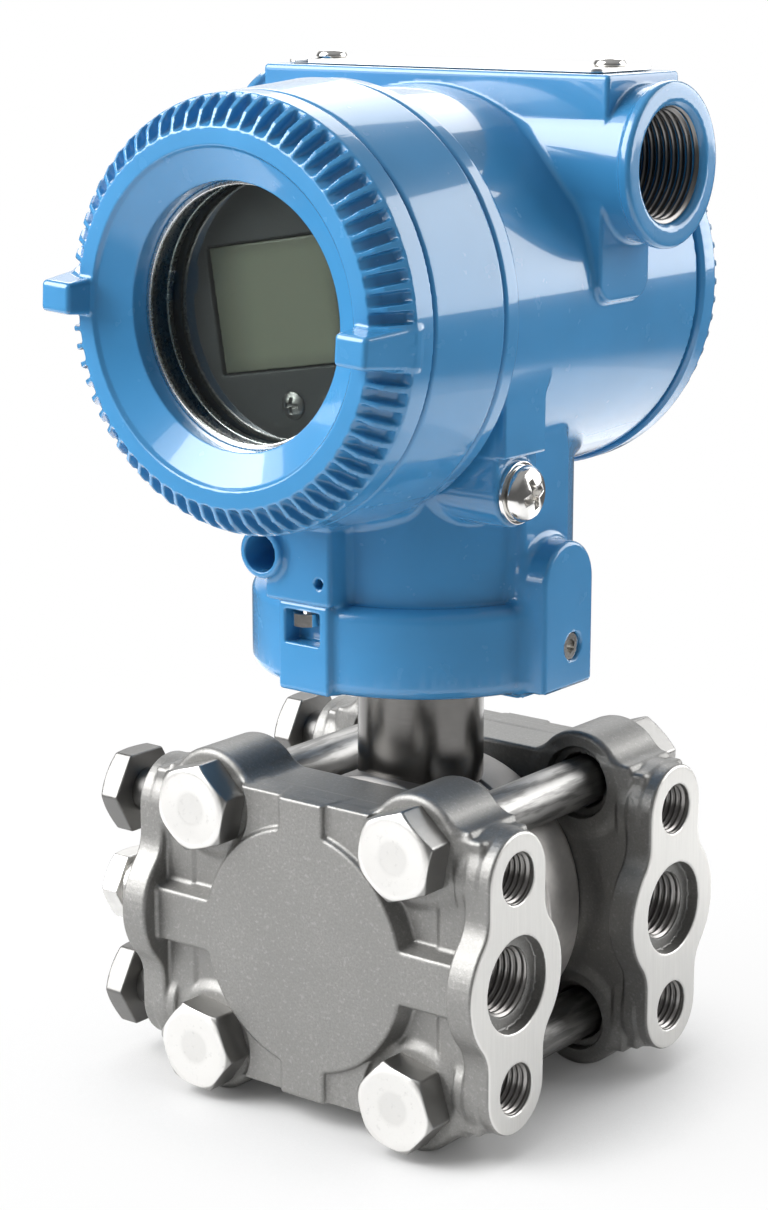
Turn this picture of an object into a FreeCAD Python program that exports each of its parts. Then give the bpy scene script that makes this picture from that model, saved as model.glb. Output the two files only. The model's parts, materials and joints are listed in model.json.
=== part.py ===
"""Differential pressure transmitter: a two-flange sensor cell under a rotating cast housing.

Frame: millimetres, +Z up, +X towards the open conduit entry and the open process ports,
-Y towards the display window. X = Y = 0 lies on the axis of the sensor neck, and Z = 0 is
the surface that the flanges stand on.
"""
import FreeCAD, Part
import math
import os

V = FreeCAD.Vector
X_AXIS = V(1, 0, 0)
Y_AXIS = V(0, 1, 0)
Z_AXIS = V(0, 0, 1)
EPS = 0.5                      # how far a cutter runs past the face that it opens

# Process flanges
FLANGE_WIDTH = 86.0            # across the machined pads
PORT_SPACING = 54.0            # between the two process ports
STUD_SPACING = 41.3            # between the two mounting holes of a pad
PORT_INSET = 8.0               # port axis behind the inner face of its flange
PLATE_T = 15.0
PLATE_HALF_H = 30.0
PLATE_EDGE_R = 1.2
DISC_R = 24.5
DISC_RISE = 4.0
RIB_HALF_W = 5.7
PAD_MID_R = 14.8
PAD_END_R = 9.0
PAD_BLEND_R = 8.0
PAD_LOBE_DEPTH = 6.0
PAD_BLOCK_DEPTH = 8.6
PAD_BLOCK_HALF_W = 7.5
PORT_SEAT_R = 9.3
PORT_SEAT_DEPTH = 2.5
PORT_R = 6.8
PORT_DEPTH = 19.0
STUD_HOLE_R = 5.0
STUD_HOLE_DEPTH = 12.0
CLOSED_HOLE_R = 4.7             # holes that the pad screws close
CHANNEL_R = 2.5
CHAMBER_R = 22.0
CHAMBER_DEPTH = 1.5

# Flange bolts
BOLT_X = 24.7
BOLT_Z = 24.6
BOLT_R = 5.0
BOLT_CLEARANCE = 0.5
BOLT_RELIEF_R = 7.2
BOLT_RELIEF_DEPTH = 2.0
BOSS_R = 10.6
BOSS_RISE = 1.0
HEX_AF = 16.0
HEAD_TURNS_DEG = (40.0, 12.0, 42.0, 8.0)    # how each head and nut has come to rest
BOLT_HEAD_H = 6.5
NUT_H = 8.0
BOLT_STICK_OUT = 2.0
THREAD_CLEARANCE = 0.05

# Screws and vent valves in the closed pads
PAD_SCREW_STANDOFF = 6.0
PAD_SCREW_HEAD_H = 5.0
PAD_SCREW_END_GAP = 2.0
FIT_GAP = 0.2
VENT_AF = 13.5
VENT_COLLAR_R = 6.2
VENT_STANDOFF = 8.0
VENT_HEAD_H = 4.6
VENT_THREAD_L = 13.0
STEM_R = 2.5
STEM_CLEARANCE = 0.05
STEM_HEAD_AF = 6.0
STEM_HEAD_H = 2.4
STEM_HEAD_GAP = 0.4
STEM_SINK = 12.0

# Sensor cell and neck
CELL_R = 29.0
CELL_STEP = 4.0                # height of the smaller faces on the cell
CELL_FACE_R = 26.0
GASKET_OUT_R = 25.0
GASKET_IN_R = 23.0
GASKET_T = 1.6
DIAPHRAGM_R = 20.0
DIAPHRAGM_T = 0.4
DIAPHRAGM_SINK = 1.0
NECK_R = 12.5
NECK_LIP_R = 13.9
NECK_LIP_H = 2.2
NECK_FIT_L = 20.0
NECK_CLEARANCE = 0.05
NECK_RING_R = 0.8
CONNECTOR_R = 8.0
CONNECTOR_H = 4.0
PIN_R = 0.5
PIN_H = 4.0
PIN_CIRCLE_R = 4.5
PIN_COUNT = 6

# Housing heights, above the flange axis
COLLAR_RISE = 50.0             # bottom of the collar
COLUMN_L = 34.7                # from the collar to the underside of the barrel
SEAT_GAP = 0.2                 # collar above the lip of the neck

# Housing casting
COLLAR_R = 33.1
COLLAR_H = 17.3
COLLAR_EDGE_R = 2.8
COLUMN_R = 29.5
BARREL_R = 38.5
BARREL_REAR_Y = 37.4
RING_FRONT_Y = -48.4
RING_REAR_Y = -29.9
RING_STEP = 1.0                # front of the ring over the barrel
RING_TAPER = 1.4
RING_EDGE_R = 1.0
BAND_GAP = 0.5                 # groove between the ring and the band behind it
BAND_W = 4.6
BAND_STEP = 2.1                # band over the barrel
BAND_EDGE_R = 1.0
CONDUIT_Y = 13.7
CONDUIT_SINK = 13.8            # below the top of the barrel
CONDUIT_TUBE_R = 14.4
CONDUIT_HUB_R = 15.3
CONDUIT_HUB_OUT = 6.2          # past the side of the barrel
CONDUIT_HUB_L = 1.9
CONDUIT_RIM_R = 14.5
CONDUIT_RIM_L = 0.7
CONDUIT_BORE_R = 10.7
CONDUIT_MOUTH_CHAMFER = 0.9
CONDUIT_THREAD_L = 16.0
CONDUIT_WAY_R = 9.0             # smooth passage between the two threaded bores
BLOCK_OVERHANG = 2.1           # past the side of the barrel
BLOCK_FRONT_Y = 1.6
BLOCK_REAR_Y = 25.7
BLOCK_STEP = 2.7               # top of the block above the barrel
BLOCK_EDGE_R = 1.2
FRONT_WALL_Y = -4.0
REAR_WALL_Y = 1.0
BARREL_WALL = 2.2              # beside the cover threads
FRONT_SHELF = 1.8              # chamber inside the threads
REAR_SHELF = 2.3
COVER_BORE_L = 9.5
NECK_CAVITY_R = 18.0
NECK_CAVITY_H = 11.0
WIRE_WAY_R = 6.0
WIRE_WAY_Y = -13.0

# Side details of the housing
GROUND_Y = -16.3
GROUND_LIFT = 5.3              # above the underside of the barrel
GROUND_FACE_X = 34.0
GROUND_BOSS_R = 6.6
GROUND_PAD_HALF_W = 6.5
GROUND_STRIP_X = 36.0          # raised strip above the ground screw
GROUND_STRIP_GAP = 1.0         # between the strip and the washer
SCREW_M5_R = 2.5
GROUND_HEAD_R = 5.3
GROUND_HEAD_H = 3.4
WASHER_R = 5.9
WASHER_T = 1.0
GROUND_SCREW_L = 10.0
PILASTER_X = 30.6
PILASTER_Y0 = -9.0
PILASTER_Y1 = 6.4
PILASTER_LIFT = 15.0           # above the underside of the barrel
PILASTER_CORNER_R = 6.0
TAB_OVERHANG = 2.5             # past the side of the barrel
TAB_Y = 7.8
TAB_HALF_W = 8.4
TAB_DROP = 1.0                 # bottom of the tab below the barrel axis
TAB_CORNER_R = 4.0
PANEL_X = 36.0
PANEL_Y0 = -9.5
PANEL_Y1 = 6.6
PANEL_TOP = 28.6               # above the collar bottom
PANEL_CORNER_R = 8.0
SET_SCREW_RISE = 8.1           # above the collar bottom
SET_SCREW_END_GAP = 0.3
SET_SCREW_SOCKET_AF = 2.5

# Locking block and screw under the display cover
LOCK_PAD_X0 = -8.0
LOCK_PAD_X1 = 4.2
LOCK_PAD_Y = -34.3
LOCK_BLOCK_X0 = -10.6
LOCK_BLOCK_X1 = 5.0
LOCK_BLOCK_Y = -34.9
LOCK_BLOCK_H = 22.4
SEAL_WIRE_R = 0.9
SEAL_WIRE_X = 2.4
SEAL_WIRE_LIFT = 4.4           # above the underside of the block
SEAL_WIRE_L = 5.0
LOCK_TUBE_X = -10.4
LOCK_TUBE_RISE = 26.2          # above the collar bottom
LOCK_TUBE_R = 4.9
LOCK_TUBE_Y = -36.6
LOCK_TUBE_BORE_R = 3.6
LOCK_TUBE_BORE_L = 9.0
NOTCH_X0 = -6.2
NOTCH_X1 = 2.0
NOTCH_RISE = 9.4
NOTCH_H = 6.4
NOTCH_DEPTH = 4.4
JAM_SCREW_R = 1.5
JAM_HEAD_R = 2.6
JAM_HEAD_H = 2.4
JAM_SCREW_L = 9.0

# Covers
COVER_GAP = 0.5
COVER_RING_SETBACK = 0.2       # inside the front edge of the housing's ring
COVER_RING_W = 4.8
COVER_DEPTH = 11.0             # gap face to the foremost face
FACE_W = 3.8
SHOULDER_W = 5.7
SHOULDER_1_IN = 0.8
SHOULDER_1_BACK = 4.0          # behind the foremost face
SHOULDER_2_IN = 2.7
SHOULDER_2_BACK = 1.6
WINDOW_R = 24.0
WINDOW_BACK = 4.2              # edge of the window behind the foremost face
SKIRT_CLEARANCE = 0.35
SKIRT_T = 4.95
SKIRT_L = 8.3
TOOTH_COUNT = 68
VALLEY_W = 2.1
VALLEY_DEPTH = 1.5
LUG_INSET = 1.9                # inside the cover's plain ring
LUG_DEPTH = 6.8
LUG_HALF_W = 3.0
LUG_RISE = 5.8
LUG_EDGE_R = 1.0
COVER_TURN_DEG = 3.4           # where the display cover has come to rest on its thread
GLASS_LAP = 4.0                # glass past the window edge
GLASS_T = 4.5
GLASS_SEAT_BACK = 8.6          # behind the foremost face
GLASS_CLEARANCE = 0.1
FRONT_RING_W = 0.9
REAR_RING_W = 4.4
REAR_RING_T = 1.6
SEAL_R = 1.0
SEAL_GROOVE_DEPTH = 2.05
SEAL_GROOVE_W = 2.4
SEAL_SET_BACK = 2.3            # groove edge behind the gap face
SEAL_CLEARANCE = 0.15          # between the ring and the floor of its groove
REAR_PLATE_T = 4.0
REAR_LUG_IN_R = 9.0
REAR_LUG_OUT_R = 22.0

# Display, electronics and terminals
DISPLAY_Y = -43.8
DISPLAY_CLEARANCE = 2.0        # inside the cover's skirt
DISPLAY_T = 12.0
LCD_HALF_W = 14.4
LCD_HALF_H = 11.7
LCD_RISE = 1.2
LCD_T = 1.6
LCD_RECESS = 0.6
DISPLAY_SCREWS = ((4.2, -16.6), (19.5, 4.0))
DISPLAY_SCREW_R = 1.4
DISPLAY_SCREW_HEAD_R = 2.7
DISPLAY_SCREW_HEAD_H = 1.0
BOARD_CLEARANCE = 3.5
BOARD_T = 1.6
BOARD_Y = -24.0
STANDOFF_R = 3.0
STANDOFF_INSET = 5.0           # inside the edge of the board
STANDOFF_COUNT = 3
TERMINAL_CLEARANCE = 3.0
TERMINAL_T = 13.0
TERMINAL_TOP = 8.0
TERMINAL_STEP = 3.0
TERMINAL_STEP_DROP = 8.0
TERMINAL_SCREW_PITCH = 15.0
TERMINAL_SCREW_R = 1.9
TERMINAL_SCREW_L = 7.5
TERMINAL_HOLE_L = 8.5
TERMINAL_HEAD_R = 4.0
TERMINAL_HEAD_H = 2.4

CHIP_HALF_W = 7.0
CHIP_T = 1.6
CAPACITOR_R = 3.0
CAPACITOR_H = 6.5
CAPACITOR_PITCH = 14.0
CAPACITOR_DROP = 16.0

# Nameplate, its screws and the adjustment buttons below it
NAMEPLATE_INSET = 3.8          # inside the end of the block
NAMEPLATE_EDGE = 2.45          # inside the side of the block
NAMEPLATE_T = 0.8
NAMEPLATE_GAP = 0.1
NAMEPLATE_SCREW_INSET = 3.9    # inside the end of the plate
NAMEPLATE_SCREW_R = 1.5
NAMEPLATE_HOLE_R = 1.6
NAMEPLATE_HEAD_R = 3.1
NAMEPLATE_HEAD_H = 1.9
NAMEPLATE_SCREW_L = 3.2
BUTTON_X = 12.0
BUTTON_R = 4.0
BUTTON_CLEARANCE = 0.05
BUTTON_H = 2.4
BUTTON_SINK = 0.3
BUTTON_WELL = 4.3

# Plug in the closed conduit entry
PLUG_HEAD_R = 12.4
PLUG_HEAD_T = 3.6
PLUG_THREAD_L = 14.0
PLUG_SOCKET_AF = 9.5
PLUG_SOCKET_DEPTH = 6.0

# Places worked out from the sizes above
PORT_Y = -PORT_SPACING / 2
FLANGE_INNER_Y = PORT_Y + PORT_INSET
FLANGE_GAP = -2 * FLANGE_INNER_Y
CELL_HALF_T = FLANGE_GAP / 2 - CELL_STEP
RELIEF_Y = FLANGE_INNER_Y - PLATE_T
BOSS_Y = RELIEF_Y - BOSS_RISE
PAD_X = FLANGE_WIDTH / 2
STUD_DZ = STUD_SPACING / 2
AXIS_Z = BOLT_Z + BOSS_R
COLLAR_Z = AXIS_Z + COLLAR_RISE
COLLAR_TOP_Z = COLLAR_Z + COLLAR_H
UNDERSIDE_Z = COLLAR_Z + COLUMN_L
BARREL_Z = UNDERSIDE_Z + BARREL_R
CONDUIT_Z = BARREL_Z + BARREL_R - CONDUIT_SINK
BLOCK_TOP_Z = BARREL_Z + BARREL_R + BLOCK_STEP
RING_FRONT_R = BARREL_R + RING_STEP
RING_REAR_R = RING_FRONT_R + RING_TAPER
COVER_BORE_R = BARREL_R - BARREL_WALL
FRONT_CHAMBER_R = COVER_BORE_R - FRONT_SHELF
REAR_CHAMBER_R = COVER_BORE_R - REAR_SHELF
SKIRT_R = COVER_BORE_R - SKIRT_CLEARANCE
SKIRT_IN_R = SKIRT_R - SKIRT_T
COVER_RING_R = RING_FRONT_R - COVER_RING_SETBACK
SHOULDER_1_R = COVER_RING_R - SHOULDER_1_IN
SHOULDER_2_R = COVER_RING_R - SHOULDER_2_IN
FACE_OUT_R = COVER_RING_R - SHOULDER_W
FACE_IN_R = FACE_OUT_R - FACE_W
LUG_OUT_R = COVER_RING_R - LUG_INSET
LUG_IN_R = LUG_OUT_R - LUG_DEPTH
GLASS_R = WINDOW_R + GLASS_LAP
DISPLAY_R = SKIRT_IN_R - DISPLAY_CLEARANCE
BOARD_R = FRONT_CHAMBER_R - BOARD_CLEARANCE
STANDOFF_CIRCLE_R = BOARD_R - STANDOFF_INSET
TERMINAL_R = REAR_CHAMBER_R - TERMINAL_CLEARANCE
CONDUIT_HUB_X = BARREL_R + CONDUIT_HUB_OUT
CONDUIT_HUB_END_X = CONDUIT_HUB_X + CONDUIT_HUB_L
CONDUIT_HALF_L = CONDUIT_HUB_END_X + CONDUIT_RIM_L
BLOCK_HALF_L = BARREL_R + BLOCK_OVERHANG
TAB_X = BARREL_R + TAB_OVERHANG
NAMEPLATE_HALF_L = BLOCK_HALF_L - NAMEPLATE_INSET
NAMEPLATE_HALF_W = (BLOCK_REAR_Y - BLOCK_FRONT_Y) / 2 - NAMEPLATE_EDGE
NAMEPLATE_SCREW_X = NAMEPLATE_HALF_L - NAMEPLATE_SCREW_INSET
NECK_TOP_Z = COLLAR_Z + NECK_FIT_L
GROUND_Z = UNDERSIDE_Z + GROUND_LIFT
BLOCK_MID_Y = (BLOCK_FRONT_Y + BLOCK_REAR_Y) / 2
FRONT_FACE_Y = RING_FRONT_Y - COVER_DEPTH
FRONT_JOIN_Y = RING_FRONT_Y - COVER_GAP
REAR_JOIN_Y = BARREL_REAR_Y + COVER_GAP


def cyl(r, length, base, axis):
    """Cylinder from base along axis."""
    return Part.makeCylinder(r, length, base, axis)


def box(x0, x1, y0, y1, z0, z1):
    """Box between two corners."""
    return Part.makeBox(x1 - x0, y1 - y0, z1 - z0, V(x0, y0, z0))


def tube(r_out, r_in, length, base, axis):
    """Ring of rectangular section."""
    return cyl(r_out, length, base, axis).cut(cyl(r_in, length, base, axis))


def hex_prism(across_flats, length, base, axis, turn_deg=0.0):
    """Hexagonal prism from base along axis, a corner pointing up at no turn."""
    r = across_flats / math.sqrt(3)
    side = axis.cross(Z_AXIS)
    if side.Length < 0.5:
        side = X_AXIS
    up = side.cross(axis)
    points = []
    for i in range(7):
        a = math.radians(60 * i + turn_deg)
        points.append(base + up * (r * math.cos(a)) + side * (r * math.sin(a)))
    return Part.Face(Part.makePolygon(points)).extrude(axis * length)


def hex_head(across_flats, length, base, axis, turn_deg=0.0):
    """Hexagon with its outer corners turned down to a cone."""
    prism = hex_prism(across_flats, length, base, axis, turn_deg)
    corner_r = across_flats / math.sqrt(3)
    flat_r = across_flats / 2 * 0.97
    drop = (corner_r - flat_r) * math.tan(math.radians(30))
    body = cyl(corner_r, length - drop, base, axis)
    cone = Part.makeCone(corner_r, flat_r, drop, base + axis * (length - drop), axis)
    return prism.common(body.fuse(cone))


def revolve_about_barrel(points):
    """Solid of revolution about the barrel axis, from (radius, y) points."""
    outline = [V(r, y, BARREL_Z) for r, y in points]
    face = Part.Face(Part.makePolygon(outline + [outline[0]]))
    return face.revolve(V(0, 0, BARREL_Z), Y_AXIS, 360)


def round_edges(shape, radius, wanted):
    """Fillet the edges that the test picks."""
    edges = [e for e in shape.Edges if wanted(e)]
    return shape.makeFillet(radius, edges)


def mirrored(shape):
    """The same shape on the other side of the middle plane."""
    return shape.mirror(V(0, 0, 0), Y_AXIS)


def export(name, shape):
    """One STEP file for each node."""
    shape.exportStep("parts/" + name + ".step")


def lobed_outline(x):
    """Outline of a pad on the plane x: round ends, a round middle and tangent hollows."""
    blend_y = PAD_END_R + PAD_BLEND_R
    reach = PAD_MID_R + PAD_BLEND_R
    blend_z = math.sqrt(reach ** 2 - blend_y ** 2)
    on_mid_y = blend_y * PAD_MID_R / reach
    on_mid_z = blend_z * PAD_MID_R / reach
    turn = math.atan2(blend_z - on_mid_z, blend_y - on_mid_y)
    hollow_y = blend_y - PAD_BLEND_R * math.cos(turn / 2)
    hollow_z = blend_z - PAD_BLEND_R * math.sin(turn / 2)

    def p(side, y, z):
        return V(x, PORT_Y + side * y, AXIS_Z + z)

    def half(side, up):
        """One side, from the top end (up = 1) or from the bottom end (up = -1)."""
        line = Part.LineSegment(p(side, PAD_END_R, up * STUD_DZ), p(side, PAD_END_R, up * blend_z))
        hollow = Part.Arc(p(side, PAD_END_R, up * blend_z), p(side, hollow_y, up * hollow_z),
                          p(side, on_mid_y, up * on_mid_z))
        return [line, hollow]

    edges = half(1, 1) + half(1, -1) + half(-1, 1) + half(-1, -1)
    for side in (1, -1):
        edges.append(Part.Arc(p(side, on_mid_y, on_mid_z), p(side, PAD_MID_R, 0),
                              p(side, on_mid_y, -on_mid_z)))
    for up in (1, -1):
        edges.append(Part.Arc(p(1, PAD_END_R, up * STUD_DZ), p(1, 0, up * (STUD_DZ + PAD_END_R)),
                              p(-1, PAD_END_R, up * STUD_DZ)))
    return Part.Wire(Part.__sortEdges__([e.toShape() for e in edges]))


def flange_pad(side):
    """Lobed end of a flange, on the plus or minus X side."""
    inner_x = side * (PAD_X - PAD_LOBE_DEPTH)
    pad = Part.Face(lobed_outline(inner_x)).extrude(X_AXIS * (side * PAD_LOBE_DEPTH))
    back_x = side * (PAD_X - PAD_BLOCK_DEPTH)
    length = PAD_BLOCK_DEPTH - PAD_LOBE_DEPTH / 2
    for up in (1, -1):
        base = V(back_x, PORT_Y, AXIS_Z + up * STUD_DZ)
        pad = pad.fuse(cyl(PAD_END_R, length, base, X_AXIS * side))
    x0 = min(0, back_x + side * length)
    x1 = max(0, back_x + side * length)
    web = box(x0, x1, PORT_Y - PAD_BLOCK_HALF_W, PORT_Y + PAD_BLOCK_HALF_W,
              AXIS_Z - PLATE_HALF_H + PLATE_EDGE_R, AXIS_Z + PLATE_HALF_H - PLATE_EDGE_R)
    return pad.fuse(web)


def flange_holes():
    """Everything drilled out of one flange."""
    holes = []
    for side in (1, -1):
        out = X_AXIS * -side
        hole_r = STUD_HOLE_R if side > 0 else CLOSED_HOLE_R
        for dz in (-STUD_DZ, STUD_DZ):
            mouth = V(side * (PAD_X + EPS), PORT_Y, AXIS_Z + dz)
            holes.append(cyl(hole_r, STUD_HOLE_DEPTH + EPS, mouth, out))
        mouth = V(side * (PAD_X + EPS), PORT_Y, AXIS_Z)
        holes.append(cyl(PORT_SEAT_R, PORT_SEAT_DEPTH + EPS, mouth, out))
        holes.append(cyl(PORT_R, PORT_DEPTH + EPS, mouth, out))
    start = V(-PAD_X + PORT_DEPTH - EPS, PORT_Y, AXIS_Z)
    holes.append(cyl(CHANNEL_R, 2 * (PAD_X - PORT_DEPTH + EPS), start, X_AXIS))
    holes.append(cyl(CHANNEL_R, FLANGE_INNER_Y - PORT_Y + EPS, V(0, PORT_Y, AXIS_Z), Y_AXIS))
    chamber = V(0, FLANGE_INNER_Y - CHAMBER_DEPTH, AXIS_Z)
    holes.append(cyl(CHAMBER_R, CHAMBER_DEPTH + EPS, chamber, Y_AXIS))
    for x, z in bolt_places():
        start = V(x, BOSS_Y - EPS, z)
        holes.append(cyl(BOLT_R + BOLT_CLEARANCE, PLATE_T + BOSS_RISE + 2 * EPS, start, Y_AXIS))
        relief = V(x, FLANGE_INNER_Y - BOLT_RELIEF_DEPTH, z)
        holes.append(cyl(BOLT_RELIEF_R, BOLT_RELIEF_DEPTH + EPS, relief, Y_AXIS))
    return Part.makeCompound(holes)


def bolt_places():
    """The four bolt axes, as (x, z)."""
    return [(sx * BOLT_X, AXIS_Z + sz * BOLT_Z) for sx in (1, -1) for sz in (1, -1)]


def flange():
    """Front process flange, one casting with machined pads."""
    half_l = PAD_X - PAD_LOBE_DEPTH
    z0 = AXIS_Z - PLATE_HALF_H
    z1 = AXIS_Z + PLATE_HALF_H
    plate = box(-half_l, half_l, RELIEF_Y, FLANGE_INNER_Y, z0, z1)
    plate = round_edges(plate, PLATE_EDGE_R, lambda e: abs(e.CenterOfMass.y - RELIEF_Y) < 0.01)
    face_y = RELIEF_Y - DISC_RISE
    disc = cyl(DISC_R, DISC_RISE + EPS, V(0, face_y, AXIS_Z), Y_AXIS)
    across = box(-half_l, half_l, face_y, RELIEF_Y + EPS, AXIS_Z - RIB_HALF_W, AXIS_Z + RIB_HALF_W)
    upright = box(-RIB_HALF_W, RIB_HALF_W, face_y, RELIEF_Y + EPS,
                  z0 + PLATE_EDGE_R, z1 - PLATE_EDGE_R)
    body = plate.fuse([disc, across, upright, flange_pad(1), flange_pad(-1)])
    for x, z in bolt_places():
        boss = cyl(BOSS_R, PLATE_T + BOSS_RISE, V(x, BOSS_Y, z), Y_AXIS)
        body = body.fuse(round_edges(boss, PLATE_EDGE_R, lambda e: e.CenterOfMass.y < BOSS_Y + 0.01))
    return body.cut(flange_holes()).removeSplitter()


def flange_bolts():
    """Four hexagon head bolts through both flanges."""
    length = 2 * -BOSS_Y + NUT_H + BOLT_STICK_OUT
    bolts = []
    for (x, z), turn in zip(bolt_places(), HEAD_TURNS_DEG):
        shank = cyl(BOLT_R, length, V(x, BOSS_Y, z), Y_AXIS)
        head = hex_head(HEX_AF, BOLT_HEAD_H, V(x, BOSS_Y, z), Y_AXIS * -1, turn)
        bolts.append(head.fuse(shank))
    return Part.makeCompound(bolts)


def flange_nuts():
    """Four nuts on the rear bosses."""
    nuts = []
    for (x, z), turn in zip(bolt_places(), HEAD_TURNS_DEG):
        base = V(x, -BOSS_Y, z)
        nut = hex_head(HEX_AF, NUT_H, base, Y_AXIS, turn)
        nuts.append(nut.cut(cyl(BOLT_R + THREAD_CLEARANCE, NUT_H, base, Y_AXIS)))
    return Part.makeCompound(nuts)


def pad_screws():
    """Hexagon screws in the mounting holes of the two closed pads."""
    screws = []
    for y in (PORT_Y, -PORT_Y):
        for dz in (-STUD_DZ, STUD_DZ):
            under_head = V(-PAD_X - PAD_SCREW_STANDOFF, y, AXIS_Z + dz)
            length = PAD_SCREW_STANDOFF + STUD_HOLE_DEPTH - PAD_SCREW_END_GAP
            shank = cyl(CLOSED_HOLE_R - FIT_GAP, length, under_head, X_AXIS)
            head = hex_head(HEX_AF, PAD_SCREW_HEAD_H, under_head, X_AXIS * -1, 0)
            screws.append(head.fuse(shank))
    return Part.makeCompound(screws)


def vent_body():
    """Vent valve body in the closed port of the front flange."""
    face = V(-PAD_X, PORT_Y, AXIS_Z)
    under_head = face - X_AXIS * VENT_STANDOFF
    body = cyl(VENT_COLLAR_R, VENT_STANDOFF + VENT_THREAD_L, under_head, X_AXIS)
    body = body.fuse(hex_head(VENT_AF, VENT_HEAD_H, under_head, X_AXIS * -1, 0))
    head_face = under_head - X_AXIS * VENT_HEAD_H
    well = cyl(STEM_R + STEM_CLEARANCE, STEM_SINK + EPS, head_face - X_AXIS * EPS, X_AXIS)
    return body.cut(well)


def vent_stem():
    """Stem that opens the vent, turned by its small hexagon."""
    head_face = V(-PAD_X - VENT_STANDOFF - VENT_HEAD_H, PORT_Y, AXIS_Z)
    under_head = head_face - X_AXIS * STEM_HEAD_GAP
    head = hex_head(STEM_HEAD_AF, STEM_HEAD_H, under_head, X_AXIS * -1, 0)
    return head.fuse(cyl(STEM_R, STEM_SINK + STEM_HEAD_GAP - FIT_GAP, under_head, X_AXIS))


def cell_blank():
    """Outer form of the cell: a disc with a smaller face on each side."""
    cell = cyl(CELL_R, 2 * CELL_HALF_T, V(0, -CELL_HALF_T, AXIS_Z), Y_AXIS)
    return cell.fuse(cyl(CELL_FACE_R, FLANGE_GAP, V(0, FLANGE_INNER_Y, AXIS_Z), Y_AXIS))


def sensor_cell():
    """Round cell between the flanges, with a seal groove and a diaphragm seat on each face."""
    cell = cell_blank()
    for side in (1, -1):
        face = V(0, -side * FLANGE_INNER_Y, AXIS_Z)
        inward = Y_AXIS * -side
        cell = cell.cut(tube(GASKET_OUT_R, GASKET_IN_R, GASKET_T, face, inward))
        cell = cell.cut(cyl(DIAPHRAGM_R + FIT_GAP, DIAPHRAGM_SINK, face, inward))
    return cell


def gasket():
    """Seal ring in the front groove of the cell."""
    return tube(GASKET_OUT_R, GASKET_IN_R, GASKET_T, V(0, FLANGE_INNER_Y, AXIS_Z), Y_AXIS)


def diaphragm():
    """Thin front diaphragm with two raised ripples."""
    seat_y = FLANGE_INNER_Y + DIAPHRAGM_SINK
    disc = cyl(DIAPHRAGM_R, DIAPHRAGM_T, V(0, seat_y - DIAPHRAGM_T, AXIS_Z), Y_AXIS)
    for share in (0.4, 0.7):
        r = DIAPHRAGM_R * share
        base = V(0, seat_y - 2 * DIAPHRAGM_T, AXIS_Z)
        disc = disc.fuse(tube(r + DIAPHRAGM_T, r - DIAPHRAGM_T, 2 * DIAPHRAGM_T, base, Y_AXIS))
    return disc


def sensor_neck():
    """Steel neck on the cell, with a lip under the collar and a bearing length inside it."""
    lip_top = COLLAR_Z - SEAT_GAP
    neck = cyl(NECK_R, NECK_TOP_Z - AXIS_Z, V(0, 0, AXIS_Z), Z_AXIS)
    lip = Part.makeCone(NECK_R, NECK_LIP_R, NECK_LIP_H, V(0, 0, lip_top - NECK_LIP_H), Z_AXIS)
    neck = neck.fuse(lip)
    neck = neck.cut(cell_blank())
    ring_z = COLLAR_Z + NECK_FIT_L - 4 * NECK_RING_R
    groove = tube(NECK_R + EPS, NECK_R - 2 * NECK_RING_R, 3 * NECK_RING_R,
                  V(0, 0, ring_z - 1.5 * NECK_RING_R), Z_AXIS)
    return neck.cut(groove)


def neck_seal():
    """Ring in the groove of the neck."""
    ring_z = COLLAR_Z + NECK_FIT_L - 4 * NECK_RING_R
    return Part.makeTorus(NECK_R - NECK_RING_R, NECK_RING_R, V(0, 0, ring_z), Z_AXIS)


def sensor_connector():
    """Pin header on top of the neck."""
    block = cyl(CONNECTOR_R, CONNECTOR_H, V(0, 0, NECK_TOP_Z), Z_AXIS)
    for i in range(PIN_COUNT):
        a = 2 * math.pi * i / PIN_COUNT
        foot = V(PIN_CIRCLE_R * math.cos(a), PIN_CIRCLE_R * math.sin(a), NECK_TOP_Z + CONNECTOR_H)
        block = block.fuse(cyl(PIN_R, PIN_H, foot, Z_AXIS))
    return block


def conduit_tube():
    """Cross tube with a narrow hub and a bevelled rim at each end."""
    body = cyl(CONDUIT_TUBE_R, 2 * CONDUIT_HUB_X, V(-CONDUIT_HUB_X, CONDUIT_Y, CONDUIT_Z), X_AXIS)
    for side in (1, -1):
        out = X_AXIS * side
        hub = cyl(CONDUIT_HUB_R, CONDUIT_HUB_END_X - CONDUIT_HUB_X,
                  V(side * CONDUIT_HUB_X, CONDUIT_Y, CONDUIT_Z), out)
        rim = Part.makeCone(CONDUIT_HUB_R, CONDUIT_RIM_R, CONDUIT_HALF_L - CONDUIT_HUB_END_X,
                            V(side * CONDUIT_HUB_END_X, CONDUIT_Y, CONDUIT_Z), out)
        body = body.fuse([hub, rim])
    return body


def top_block():
    """Flat-topped block that carries the nameplate."""
    block = box(-BLOCK_HALF_L, BLOCK_HALF_L, BLOCK_FRONT_Y, BLOCK_REAR_Y, CONDUIT_Z, BLOCK_TOP_Z)
    return round_edges(block, BLOCK_EDGE_R, lambda e: e.CenterOfMass.z > CONDUIT_Z + 1)


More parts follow.
